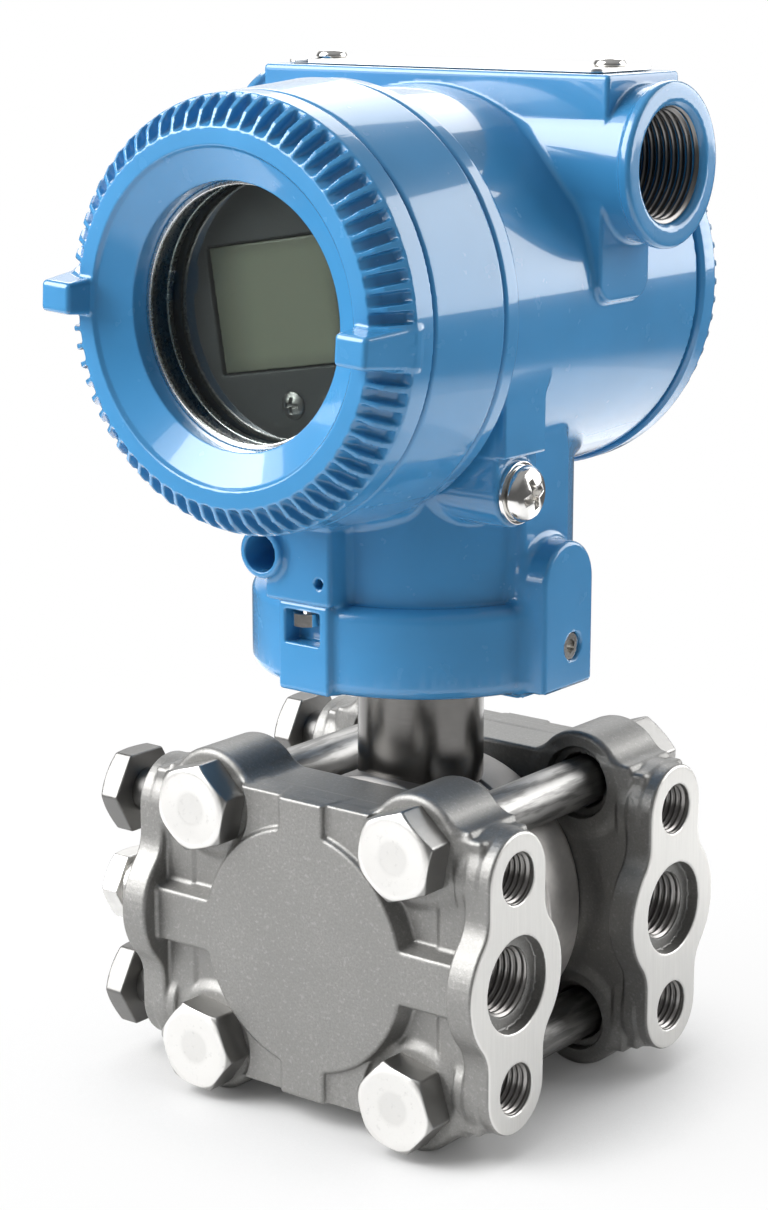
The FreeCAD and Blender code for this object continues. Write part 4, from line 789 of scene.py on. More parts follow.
class Value:
    """A socket with arithmetic: each sign adds a Math node to the tree."""

    def __init__(self, tree, socket):
        self.tree = tree
        self.socket = socket

    def math(self, operation, *others):
        """Math node with this socket first and the others after it."""
        node = self.tree.nodes.new("ShaderNodeMath")
        node.operation = operation
        for slot, item in zip(node.inputs, (self,) + others):
            link_or_set(self.tree, slot, item)
        return Value(self.tree, node.outputs[0])

    def __add__(self, other):
        return self.math("ADD", other)

    __radd__ = __add__

    def __sub__(self, other):
        return self.math("SUBTRACT", other)

    def __rsub__(self, other):
        return (self * -1.0) + other

    def __mul__(self, other):
        return self.math("MULTIPLY", other)

    __rmul__ = __mul__

    def __pow__(self, other):
        return self.math("POWER", other)

    def __neg__(self):
        return self * -1.0

    def step_up(self, start, end):
        """Smooth step from 0 at start to 1 at end."""
        node = self.tree.nodes.new("ShaderNodeMapRange")
        node.interpolation_type = "SMOOTHSTEP"
        link_or_set(self.tree, node.inputs["Value"], self)
        node.inputs["From Min"].default_value = start
        node.inputs["From Max"].default_value = end
        return Value(self.tree, node.outputs["Result"])


def link_or_set(tree, slot, item):
    """Joins a socket to an input, or writes a plain number or colour into it."""
    if isinstance(item, Value):
        tree.links.new(item.socket, slot)
    elif isinstance(item, (tuple, list)) and len(slot.default_value) == 4 and len(item) == 3:
        slot.default_value = (*item, 1.0)
    else:
        slot.default_value = item


class Tree:
    """Builder of one node tree."""

    def __init__(self, tree):
        self.tree = tree
        self.tree.nodes.clear()

    def add(self, kind, settings=None, inputs=None, output=0):
        """Node of a kind with its settings and inputs; returns one of its outputs."""
        node = self.tree.nodes.new(kind)
        for key, item in (settings or {}).items():
            setattr(node, key, item)
        for key, item in (inputs or {}).items():
            link_or_set(self.tree, node.inputs[key], item)
        return Value(self.tree, node.outputs[output]) if len(node.outputs) else None

    def place(self):
        """Object coordinates as a vector, in metres."""
        return self.add("ShaderNodeTexCoord", output="Object")

    def split(self, vector):
        """The x, y and z of a vector as three values."""
        apart = self.tree.nodes.new("ShaderNodeSeparateXYZ")
        self.tree.links.new(vector.socket, apart.inputs[0])
        return [Value(self.tree, socket) for socket in apart.outputs]

    def axes(self):
        """The object coordinates as three values in millimetres."""
        return [value * 1000.0 for value in self.split(self.place())]

    def rays(self):
        """Whether the ray comes from the camera, and whether from a mirror or through glass."""
        path = self.tree.nodes.new("ShaderNodeLightPath")
        camera, glossy, through = [Value(self.tree, path.outputs[name]) for name in
                                   ("Is Camera Ray", "Is Glossy Ray", "Is Transmission Ray")]
        return camera, glossy.math("MAXIMUM", through)

    def noise(self, size_mm, detail=3.0, rough=0.55, stretch=(1.0, 1.0, 1.0)):
        """Noise with features of a size in millimetres."""
        where = self.add("ShaderNodeVectorMath", {"operation": "MULTIPLY"},
                         {0: self.place(), 1: tuple(s * 1000.0 / size_mm for s in stretch)})
        return self.add("ShaderNodeTexNoise", {},
                        {"Vector": where, "Scale": 1.0, "Detail": detail, "Roughness": rough})

    def mix(self, factor, a, b):
        """Colour between a and b."""
        return self.add("ShaderNodeMix", {"data_type": "RGBA"},
                        {0: factor, 6: a, 7: b}, output=2)

    def blend(self, factor, a, b):
        """Shader between a and b."""
        return self.add("ShaderNodeMixShader", {}, {0: factor, 1: a, 2: b})

    def glow(self, strength):
        """White light of a strength."""
        return self.add("ShaderNodeEmission", {},
                        {"Color": (1.0, 1.0, 1.0), "Strength": strength})

    def bump(self, height, distance_mm, strength=1.0):
        """Normal from a height of 0 to 1 that stands for a depth in millimetres."""
        return self.add("ShaderNodeBump", {},
                        {"Height": height, "Distance": distance_mm * MM, "Strength": strength})

    def surface(self, inputs):
        """Principled surface joined to the output."""
        shader = self.add("ShaderNodeBsdfPrincipled", {}, inputs)
        self.add("ShaderNodeOutputMaterial", {}, {"Surface": shader})
        return shader


# Materials

def material(name):
    """New material and the builder of its node tree."""
    made = bpy.data.materials.new(name)
    made.use_nodes = True
    return made, Tree(made.node_tree)


def shaded(tint, amount):
    """A colour made lighter or darker by a factor."""
    return tuple(min(1.0, c * amount) for c in tint)


def paint_material(colours):
    """Glossy paint on a casting, with faint orange peel and a slight change of tone."""
    made, t = material("blue_paint")
    tint = tuple(colours.paint)
    tone = t.noise(26.0, 2.0)
    base = t.mix(tone.step_up(0.3, 0.7), shaded(tint, 0.94), shaded(tint, 1.06))
    peel = t.noise(2.2, 2.0) * 0.7 + t.noise(0.5, 2.0) * 0.3
    t.surface({"Base Color": base, "Roughness": t.noise(5.0) * 0.08 + colours.paint_gloss,
               "Coat Weight": 0.9, "Coat Roughness": 0.05, "Specular IOR Level": 0.3,
               "Normal": t.bump(peel, 0.012, 0.6)})
    return made


def cast_steel_material(colours):
    """Blasted stainless casting, its pads and bores machined bright."""
    made, t = material("flange_steel")
    tint = tuple(colours.cast_steel)
    machined = t.axes()[0].math("ABSOLUTE").step_up(42.75, 42.9)
    grain = t.noise(0.5, 3.0, 0.7)
    clouds = t.noise(14.0, 3.0, 0.6)
    specks = t.noise(0.7, 2.0, 0.5).step_up(0.56, 0.74)
    cast = t.mix(clouds.step_up(0.25, 0.75), shaded(tint, 0.95), shaded(tint, 1.06))
    cast = t.mix(grain.step_up(0.3, 0.7), shaded(tint, 0.84), cast)
    cast = t.mix(specks * 0.4, cast, shaded(tint, 1.45))
    lines = t.noise(0.5, 2.0, 0.5, (0.05, 1.0, 0.05))
    bright = t.mix(lines, shaded(tint, 2.45), shaded(tint, 2.8))
    height = grain * (1.0 - machined) + lines * machined * 0.12
    t.surface({"Base Color": t.mix(machined, cast, bright), "Metallic": 0.9,
               "Roughness": 0.46 - machined * 0.08 + grain * 0.1,
               "Normal": t.bump(height, 0.06, 0.8)})
    return made


def turned_steel_material(name, tint, rough, size=0.35, stretch=(1.0, 1.0, 1.0), depth=0.006):
    """Machined steel with fine tool marks and slight stains."""
    made, t = material(name)
    marks = t.noise(size, 2.0, 0.5, stretch)
    clouds = t.noise(6.0, 3.0, 0.6)
    base = t.mix(clouds.step_up(0.3, 0.7), shaded(tint, 0.88), shaded(tint, 1.05))
    t.surface({"Base Color": base, "Metallic": 1.0,
               "Roughness": marks * 0.1 + clouds * 0.06 + (rough - 0.08),
               "Normal": t.bump(marks, depth, 0.7)})
    return made


def cell_material(colours):
    """Turned cell body, dull, with painted shade on its top between the flanges."""
    made, t = material("cell_steel")
    tint = tuple(colours.dark_steel)
    z = t.axes()[2]
    marks = t.noise(0.35, 2.0, 0.5)
    clouds = t.noise(6.0, 3.0, 0.6)
    base = t.mix(clouds.step_up(0.3, 0.7), shaded(tint, 2.2), shaded(tint, 2.7))
    # Painted shade: the base colour darkens above z = 52 mm, where the cell's top lies in shade
    # between the flanges.
    base = t.mix(z.step_up(52.0, 62.0) * 0.85, base, shaded(tint, 0.5))
    t.surface({"Base Color": base, "Metallic": 1.0, "Roughness": marks * 0.1 + 0.45,
               "Normal": t.bump(marks, 0.006, 0.7)})
    return made


def forged_head_material(colours):
    """Bolt heads with a painted highlight on their front faces and painted shade elsewhere, on
    rods with dark streaks.
    """
    made, t = material("bolt_steel")
    tint = tuple(colours.bright_steel)
    x, y = t.axes()[:2]
    skin = t.noise(0.7, 4.0, 0.65)
    pits = t.noise(1.3, 3.0, 0.6).step_up(0.58, 0.78)
    face = (-y).step_up(41.0, 41.3)
    rod = 1.0 - y.math("ABSOLUTE").step_up(30.0, 34.0)
    streaks = t.noise(1.6, 3.0, 0.6, (1.0, 0.12, 1.0)).step_up(0.42, 0.6)
    inner = 1.0 - x.math("ABSOLUTE").step_up(36.0, 40.0)
    # Painted shade: sides of the heads, the nuts and the rods get a darkened copy of the steel
    # colour.
    sides = t.mix(rod * inner, shaded(tint, 0.4), shaded(tint, 0.42))
    # Painted shade, darker still, on the pad screws at the far left.
    sides = t.mix(x.step_up(-47.0, -43.0), shaded(tint, 0.22), sides)
    sides = t.mix(streaks * rod * inner * 0.85, sides, shaded(tint, 0.2))
    # Painted highlight: the front faces of the bolt heads get a lighter copy of the steel colour,
    # with darker pits.
    lit_pitted_face = t.mix(pits * 0.45, shaded(tint, 1.03), shaded(tint, 0.7))
    base = t.mix(face, sides, lit_pitted_face)
    t.surface({"Base Color": base, "Metallic": 1.0, "Roughness": skin * 0.18 + 0.30,
               "Normal": t.bump(skin, 0.03, 0.7)})
    return made


def plastic_material(name, tint, rough, coat=0.0):
    """Moulded plastic or rubber with a fine texture and a slight change of tone."""
    made, t = material(name)
    skin = t.noise(0.6, 3.0, 0.6)
    tone = t.noise(12.0, 2.0)
    base = t.mix(tone.step_up(0.3, 0.7), shaded(tint, 0.9), shaded(tint, 1.08))
    t.surface({"Base Color": base, "Roughness": skin * 0.12 + (rough - 0.06),
               "Coat Weight": coat, "Normal": t.bump(skin, 0.01, 0.6)})
    return made


def screen_material(colours):
    """Idle liquid crystal panel: olive, with painted shade towards its edges and a painted shadow
    over its left part, under a glossy film.
    """
    made, t = material("display_screen")
    tint = tuple(colours.screen)
    x, z = t.axes()[::2]
    across, upward = screen_axes(x, z - BARREL_Z)
    from_side = SCREEN_HALF_W - across.math("ABSOLUTE")
    from_top = SCREEN_HALF_H - upward.math("ABSOLUTE")
    edge = from_side.math("MINIMUM", from_top).step_up(0.0, 3.0)
    dots = t.noise(0.4, 1.0) * 0.05
    # Painted shade: the panel darkens towards its edges, where the rim of the case shades it.
    base = t.mix(edge, shaded(tint, 0.78), shaded(tint, 1.0))
    # Painted shadow of the window bore over the left part of the panel.
    base = t.mix((1.0 - across.step_up(-14.0, -4.0)) * 0.6, base, shaded(tint, 0.3))
    t.surface({"Base Color": base, "Roughness": dots + 0.16, "Coat Weight": 0.3,
               "Coat Roughness": 0.05})
    return made


def glass_material():
    """Clear thick glass that lets light through to the display."""
    made, t = material("window_glass")
    dust = t.noise(3.0, 3.0, 0.7)
    clear = t.add("ShaderNodeBsdfTransparent", {}, {"Color": (0.90, 0.93, 0.92)})
    gloss = t.add("ShaderNodeBsdfGlossy", {},
                  {"Color": (1.0, 1.0, 1.0), "Roughness": dust * 0.03 + 0.01})
    fresnel = t.add("ShaderNodeFresnel", {}, {"IOR": 1.45})
    mixed = t.blend(fresnel * 0.8, clear, gloss)
    t.add("ShaderNodeOutputMaterial", {}, {"Surface": mixed})
    return made


def plate_material(colours):
    """Brushed sheet of the nameplate."""
    made, t = material("plate_steel")
    tint = tuple(colours.bright_steel)
    brushed = t.noise(0.25, 2.0, 0.5, (0.04, 1.0, 1.0))
    clouds = t.noise(8.0)
    base = t.mix(clouds, shaded(tint, 0.95), shaded(tint, 1.15))
    t.surface({"Base Color": base, "Metallic": 1.0, "Roughness": brushed * 0.15 + 0.28,
               "Normal": t.bump(brushed, 0.004, 0.6)})
    return made


def board_material():
    """Green circuit board with faint tracks."""
    made, t = material("board_green")
    tracks = t.noise(2.4, 0.0, 0.5, (1.0, 1.0, 0.15)).step_up(0.5, 0.56)
    base = t.mix(tracks, (0.012, 0.085, 0.035), (0.02, 0.14, 0.06))
    t.surface({"Base Color": base, "Roughness": tracks * 0.1 + 0.35, "Coat Weight": 0.3})
    return made


def all_materials(colours):
    """Every material by its slot name in the record."""
    steel = tuple(colours.bright_steel)
    dark = tuple(colours.dark_steel)
    turned = {
        "valve_steel": (shaded(steel, 0.9), 0.34),
        "neck_steel": (shaded(dark, 0.62), 0.24, 0.3, (0.1, 0.1, 2.0), 0.004),
        "diaphragm_steel": (steel, 0.2),
        "screw_steel": (shaded(steel, 1.15), 0.14, 0.6),
        "ring_steel": (shaded(steel, 1.1), 0.28, 0.5),
        "pin_brass": ((0.62, 0.44, 0.16), 0.3),
        "thread_steel": (shaded(dark, 1.1), 0.34, 0.3),
        "conduit_thread": (shaded(dark, 0.8), 0.3, 0.4),
    }
    moulded = {
        "white_seal": ((0.72, 0.72, 0.69), 0.5),
        "black_seal": ((0.014, 0.014, 0.014), 0.45),
        "display_case": (tuple(colours.case), 0.5),
        "terminal_black": ((0.02, 0.02, 0.02), 0.45),
        "button_red": ((0.33, 0.02, 0.015), 0.35, 0.3),
        "plug_beige": ((0.50, 0.47, 0.42), 0.5),
    }
    made = {name: turned_steel_material(name, *look) for name, look in turned.items()}
    made.update({name: plastic_material(name, *look) for name, look in moulded.items()})
    made.update({
        "blue_paint": paint_material(colours),
        "flange_steel": cast_steel_material(colours),
        "bolt_steel": forged_head_material(colours),
        "cell_steel": cell_material(colours),
        "plate_steel": plate_material(colours),
        "board_green": board_material(),
        "display_screen": screen_material(colours),
        "window_glass": glass_material(),
    })
    return made


# Every material by its slot name, filled by the first operator
MATERIALS = {}


# Small pieces and their places

def dress(obj, name):
    """Gives an object one of the materials in place of any it has."""
    obj.data.materials.clear()
    obj.data.materials.append(MATERIALS[name])


def place_piece(obj, body, slot, finish=None):
    """Lets a piece ride on a body, dressed in a finish, or else in the material of its slot in the
    record.
    """
    dress(obj, finish or slot)
    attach(obj, body)
    return obj


def stand_in(name, part, body, slot, node, finish=None):
    """Piece from points, faces and normals that takes the place of a node of the frame."""
    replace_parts(place_piece(new_object(name, *part), body, slot, finish), node)


def carried(part, origin, axes):
    """Points, faces and normals of a piece moved from its own axes to a place on the part.

    The three axes say where the piece's u, v and out point on the part.
    """
    points, faces, normals = part
    turn = np.array(axes, dtype=float)
    if np.linalg.det(turn) < 0:
        faces = faces[:, ::-1]
    return points @ turn + np.array(origin), faces, normals @ turn


def merged(parts):
    """One set of points, faces and normals from several."""
    starts = np.cumsum([0] + [len(p[0]) for p in parts[:-1]])
    return (np.concatenate([p[0] for p in parts]),
            np.concatenate([p[1] + s for p, s in zip(parts, starts)]),
            np.concatenate([p[2] for p in parts]))


def hexagon(u, v, across_flats, turn, r):
    """Distance to a hexagonal bar with its corners rounded by r."""
    sides = []
    for k in range(3):
        a = math.radians(60 * k) + turn
        sides.append(np.abs(u * math.sin(a) + v * math.cos(a)) - across_flats / 2)
    return smooth_max(*sides, r=r)


def hex_head_field(across_flats, height, turn_deg, washer_r=0.0):
    """Field of a forged hexagon head on the plane out = 0, with a washer face if it has one."""
    turn = math.radians(turn_deg)
    flat_r = across_flats / 2 * 0.955

    def field(u, v, out):
        radius = hypot(u, v)
        dish = 0.28 * np.clip((7.0 - radius) / 4.0, 0, 1)
        top = out - height + dish * across_flats / 16
        cone = (radius - flat_r) * 0.5 + (out - height) * 0.866
        head = smooth_max(hexagon(u, v, across_flats, turn, 0.35), top, cone, -0.05 - out, r=0.3)
        if washer_r:
            head = np.minimum(head, capped(radius, out, washer_r, -0.05, 0.6, 0.15))
        return head
    return field


def pan_head_field(head_r, height, reach, width):
    """Field of a pan head with a tapered cross recess."""
    ball_r = head_r * 1.9
    sink = ball_r - height

    def field(u, v, out):
        radius = hypot(u, v)
        ball = np.sqrt(radius * radius + (out + sink) ** 2) - ball_r
        head = smooth_max(radius - head_r, ball, -0.05 - out, r=height * 0.32)
        depth = np.clip(height - out, 0, height)
        arm = reach - depth * 0.55
        slim = width - depth * 0.12
        cross = np.minimum(np.maximum(np.abs(u) - arm, np.abs(v) - slim),
                           np.maximum(np.abs(v) - arm, np.abs(u) - slim))
        cross = np.minimum(cross, radius - width * 1.25 + depth * 0.3)
        cross = np.maximum(cross, height * 0.35 - out)
        return cut(head, cross * 0.85, 0.12)
    return field


def field_part(field, half, low, high, step, target):
    """Mesh of a small piece in its own axes, half wide from low to high."""
    return field_mesh(field, (-half, -half, low), (half, half, high), step, target)


def sleeve_part(profile, columns=64):
    """Surface of revolution about out, from (radius, out) points, with its normals."""
    profile = np.array(profile, dtype=float)
    angle = full_turn(columns)

    def swept(radius, along):
        return np.stack([radius * np.cos(angle), radius * np.sin(angle),
                         np.repeat(along, columns, axis=1)], -1).reshape(-1, 3)
    lean = np.gradient(profile, axis=0)
    return (swept(profile[:, :1], profile[:, 1:]), triangles(grid_faces(len(profile), columns)),
            swept(lean[:, 1:], -lean[:, :1]))


def threaded_profile(r, start, end, pitch, depth, per_turn=8):
    """(radius, out) points of a bar cut with rings of a rounded thread."""
    along = np.linspace(start, end, max(2, int(abs(end - start) / pitch * per_turn)))
    wave = 0.5 - 0.5 * np.cos(2 * math.pi * (along - start) / pitch)
    return list(zip(r - depth * wave, along))


# Operators

class TransmitterOperator(bpy.types.Operator):
    """Shared ground of the operators that build the looks."""
    bl_idname = "transmitter.base"
    bl_label = "Transmitter piece"
    bl_options = {"REGISTER", "UNDO"}

    @property
    def sizes(self):
        """Sizes set on the scene."""
        return bpy.context.scene.transmitter_sizes

    @property
    def colours(self):
        """Colours set on the scene."""
        return bpy.context.scene.transmitter_colours


class BuildMaterials(TransmitterOperator):
    """Makes every material of the transmitter."""
    bl_idname = "transmitter.materials"
    bl_label = "Materials"

    def execute(self, context):
        MATERIALS.clear()
        MATERIALS.update(all_materials(self.colours))
        return {"FINISHED"}


class BuildHousing(TransmitterOperator):
    """Painted housing casting with real fillets."""
    bl_idname = "transmitter.housing"
    bl_label = "Housing casting"

    def execute(self, context):
        step = self.sizes.casting_step / MM
        part = field_mesh(housing_field, (-49, -50, 84.0), (49, 39, 201), step,
                          HOUSING_TRIANGLES)
        stand_in("housing_casting", part, "housing", "blue_paint", "housing")
        return {"FINISHED"}


class BuildFlanges(TransmitterOperator):
    """Both process flanges, the rear one a mirror image."""
    bl_idname = "transmitter.flanges"
    bl_label = "Process flanges"

    def execute(self, context):
        step = self.sizes.flange_step / MM
        part = field_mesh(flange_field, (-44, -43, -1.0), (44, -11, 71.6), step,
                          FLANGE_TRIANGLES)
        stand_in("front_flange_casting", part, "sensor", "flange_steel", "front_flange")
        part = carried(part, (0, 0, 0), ((1, 0, 0), (0, -1, 0), (0, 0, 1)))
        stand_in("rear_flange_casting", part, "sensor", "flange_steel", "rear_flange")
        return {"FINISHED"}


class BuildCovers(TransmitterOperator):
    """Display cover and blind rear cover, with their finger valleys and lugs."""
    bl_idname = "transmitter.covers"
    bl_label = "Covers"

    def execute(self, context):
        step = self.sizes.cover_step / MM
        field = cover_field(WINDOW_PROFILE, COVER_TURN_DEG, driving_lugs)
        part = field_mesh(field, (-41, -41, -9.2), (41, 41, 17.2), step, WINDOW_COVER_TRIANGLES)
        part = carried(part, (0, FRONT_JOIN_Y, BARREL_Z), ((1, 0, 0), (0, 0, -1), (0, -1, 0)))
        stand_in("display_cover_casting", part, "display_cover", "blue_paint", "display_cover")
        field = cover_field(BLIND_PROFILE, 0.0, dish_lugs)
        part = field_mesh(field, (-41, -41, -9.2), (41, 41, 11.5), step, BLIND_COVER_TRIANGLES)
        part = carried(part, (0, REAR_JOIN_Y, BARREL_Z), ((1, 0, 0), (0, 0, -1), (0, 1, 0)))
        stand_in("rear_cover_casting", part, "rear_cover", "blue_paint", "rear_cover")
        return {"FINISHED"}


class BuildThreads(TransmitterOperator):
    """Helical threads in the ports, the mounting holes and the conduit entry."""
    bl_idname = "transmitter.threads"
    bl_label = "Threads"

    def execute(self, context):
        for side, y in (("front", PORT_Y), ("rear", -PORT_Y)):
            obj = thread_surface(side + "_port_thread", (0, y, AXIS_Z), "x", 40.3, 25.0, 6.9,
                                 0.75, self.sizes.port_pitch / MM)
            place_piece(obj, "sensor", "flange_steel", "thread_steel")
            for level, dz in (("upper", STUD_DZ), ("lower", -STUD_DZ)):
                obj = thread_surface(f"{side}_{level}_pad_thread", (0, y, AXIS_Z + dz), "x",
                                     42.5, 29.0, 5.05, 0.6, self.sizes.pad_pitch / MM, 72)
                place_piece(obj, "sensor", "flange_steel", "thread_steel")
        obj = thread_surface("conduit_thread", (0, CONDUIT_Y, CONDUIT_Z), "x",
                             CONDUIT_HALF_L - 1.0, 31.5, CONDUIT_BORE_R + 0.15, 1.0,
                             self.sizes.conduit_pitch / MM, 128)
        place_piece(obj, "housing", "blue_paint", "conduit_thread")
        return {"FINISHED"}


class BuildBolts(TransmitterOperator):
    """Flange bolts with their nuts, and the screws in the closed pads."""
    bl_idname = "transmitter.bolts"
    bl_label = "Bolts and nuts"

    def execute(self, context):
        places = [(1, 1, 40.0), (1, -1, 12.0), (-1, 1, 42.0), (-1, -1, 8.0)]
        shank_end = 2 * -BOSS_Y + 10.0
        shank = [(5.0, -0.1)] + [(5.0, -t) for t in np.linspace(2, shank_end - 18, 12)]
        shank += [(r, -t) for r, t in threaded_profile(4.95, shank_end - 17.5, shank_end - 0.8,
                                                        1.5, 0.55)]
        shank += [(4.0, -shank_end + 0.02), (0.01, -shank_end)]
        shank_part = sleeve_part(shank)
        heads, nuts = [], []
        for sx, sz, turn in places:
            spot = (sx * BOLT_X, BOSS_Y, AXIS_Z + sz * BOLT_Z)
            head = field_part(hex_head_field(HEAD_FLATS, 6.5, turn, HEAD_WASHER_R), 9.8, -0.5,
                              7.0, 0.3, 9000)
            heads += [carried(head, spot, TO_FRONT), carried(shank_part, spot, TO_FRONT)]
            nut = field_part(hex_head_field(HEAD_FLATS, 8.0, turn, HEAD_WASHER_R), 9.8, -0.5,
                             8.5, 0.35, 7000)
            nuts.append(carried(nut, (spot[0], -BOSS_Y, spot[2]), TO_REAR))
        stand_in("flange_bolt_set", merged(heads), "sensor", "bolt_steel", "flange_bolts")
        stand_in("flange_nut_set", merged(nuts), "sensor", "bolt_steel", "flange_nuts")
        self.pad_screws()
        return {"FINISHED"}

    def pad_screws(self):
        """Hexagon screws that close the two left pads."""
        head = field_part(hex_head_field(HEAD_FLATS, 5.0, 0.0), 9.8, -0.5, 5.5, 0.3, 9000)
        shank = sleeve_part([(4.5, -0.1)] + threaded_profile(4.55, -0.4, -18.6, -1.25, 0.5)
                            + [(0.01, -19.0)], 48)
        parts = []
        for y in (PORT_Y, -PORT_Y):
            for dz in (STUD_DZ, -STUD_DZ):
                spot = (-PAD_X - 6.0, y, AXIS_Z + dz)
                parts += [carried(head, spot, TO_LEFT), carried(shank, spot, TO_LEFT)]
        stand_in("pad_screw_set", merged(parts), "sensor", "bolt_steel", "pad_screws")


class BuildSensor(TransmitterOperator):
    """Sensor cell and polished neck."""
    bl_idname = "transmitter.sensor"
    bl_label = "Cell and neck"

    def execute(self, context):
        cell = [(0.01, -19.0), (22.8, -19.0), (26.0, -19.0), (26.0, -15.2), (28.0, -15.0),
                (29.0, -14.0), (29.0, -4.2), (28.5, -3.8), (28.5, -3.4), (29.0, -3.0)]
        cell = cell + [(r, -y) for r, y in cell[::-1]]
        obj = turned_surface("sensor_cell_body", filleted(cell, 0.8), (0, 0, AXIS_Z), "y", 192)
        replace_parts(place_piece(obj, "sensor", "cell_steel"), "sensor_cell")
        lip_top = COLLAR_Z - 0.2
        neck = [(NECK_R, AXIS_Z + 18), (NECK_R, lip_top - 3.4), (13.9, lip_top - 0.5),
                (13.9, lip_top), (NECK_R, lip_top), (NECK_R, 100.6), (11.0, 100.8),
                (11.0, 103.2), (NECK_R, 103.4), (NECK_R, NECK_TOP_Z), (0.01, NECK_TOP_Z)]
        obj = turned_surface("sensor_neck_body", filleted(neck, 1.6, 7), (0, 0, 0), "z", 128)
        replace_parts(place_piece(obj, "sensor", "neck_steel"), "sensor_neck")
        return {"FINISHED"}


class BuildValves(TransmitterOperator):
    """Vent valve bodies and their stems."""
    bl_idname = "transmitter.valves"
    bl_label = "Vent valves"

    def execute(self, context):
        body_head = field_part(hex_head_field(13.5, 4.6, 0.0, 6.4), 8.4, -0.5, 5.2, 0.3, 8000)
        collar = sleeve_part([(6.2, 0.0), (6.2, -7.6)]
                             + threaded_profile(6.2, -8.0, -20.5, -1.4, 0.6) + [(0.01, -21.0)])
        stem_head = field_part(hex_head_field(6.0, 2.4, 0.0), 4.2, -0.3, 2.8, 0.2, 4000)
        stem = sleeve_part([(2.5, 0.0), (2.5, -12.0), (0.01, -12.0)], 32)
        for side, y in (("front", PORT_Y), ("rear", -PORT_Y)):
            spot = (VALVE_X, y, AXIS_Z)
            parts = [carried(p, spot, TO_LEFT) for p in (body_head, collar)]
            stand_in(side + "_vent_valve", merged(parts), "sensor", "valve_steel",
                     side + "_vent_body")
            spot = (STEM_X, y, AXIS_Z)
            parts = [carried(p, spot, TO_LEFT) for p in (stem_head, stem)]
            stand_in(side + "_vent_needle", merged(parts), side + "_vent", "valve_steel",
                     side + "_vent_stem")
        return {"FINISHED"}


class BuildWindow(TransmitterOperator):
    """Glass of the window and its two bright rings."""
    bl_idname = "transmitter.window"
    bl_label = "Window"

    def execute(self, context):
        seat = FRONT_JOIN_Y - WINDOW_SEAT
        pane = [(0.01, 0.0), (27.2, 0.0), (28.0, 0.8), (28.0, 3.9), (27.4, 4.5), (0.01, 4.5)]
        ring = [(23.1, -0.45), (23.1, -0.9), (24.0, -0.9), (24.0, 0.0), (23.1, 0.0), (23.1, -0.45)]
        clamp = [(23.6, 5.3), (23.6, 4.5), (28.0, 4.5), (28.0, 6.1), (23.6, 6.1), (23.6, 5.3)]
        for name, profile, corner, slot, node in (
                ("window_pane", pane, 0.3, "window_glass", "window_glass"),
                ("window_bright_ring", ring, 0.25, "ring_steel", "window_front_ring"),
                ("window_clamp_ring", clamp, 0.35, "ring_steel", "window_rear_ring")):
            obj = turned_surface(name, filleted(profile, corner), (0, seat, BARREL_Z), "y")
            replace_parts(place_piece(obj, "display_cover", slot), node)
        return {"FINISHED"}


class BuildDisplay(TransmitterOperator):
    """Display case, its screen and its captive screws."""
    bl_idname = "transmitter.display"
    bl_label = "Display"

    def execute(self, context):
        part = field_mesh(display_field, (-30, -44.6, 128), (30, -31, 188.5), 0.5,
                          DISPLAY_TRIANGLES)
        stand_in("display_front", part, "housing", "display_case", "display_module")
        parts = []
        for x, rise in DISPLAY_SCREWS:
            head = field_part(pan_head_field(2.7, 1.0, 1.6, 0.35), 3.2, -0.4, 1.4, 0.12, 9000)
            shank = sleeve_part([(1.4, 0.0), (1.4, -19.8), (0.01, -19.8)], 24)
            spot = (x, DISPLAY_FACE_Y, BARREL_Z + rise)
            parts += [carried(head, spot, TO_FRONT), carried(shank, spot, TO_FRONT)]
        stand_in("display_screw_set", merged(parts), "housing", "screw_steel", "display_screws",
                 "thread_steel")
        panel = field_mesh(screen_field, (-20, -44.0, 140), (20, -41.0, 178), 0.5, 3000)
        stand_in("display_panel", panel, "housing", "display_screen", "display_screen")
        return {"FINISHED"}


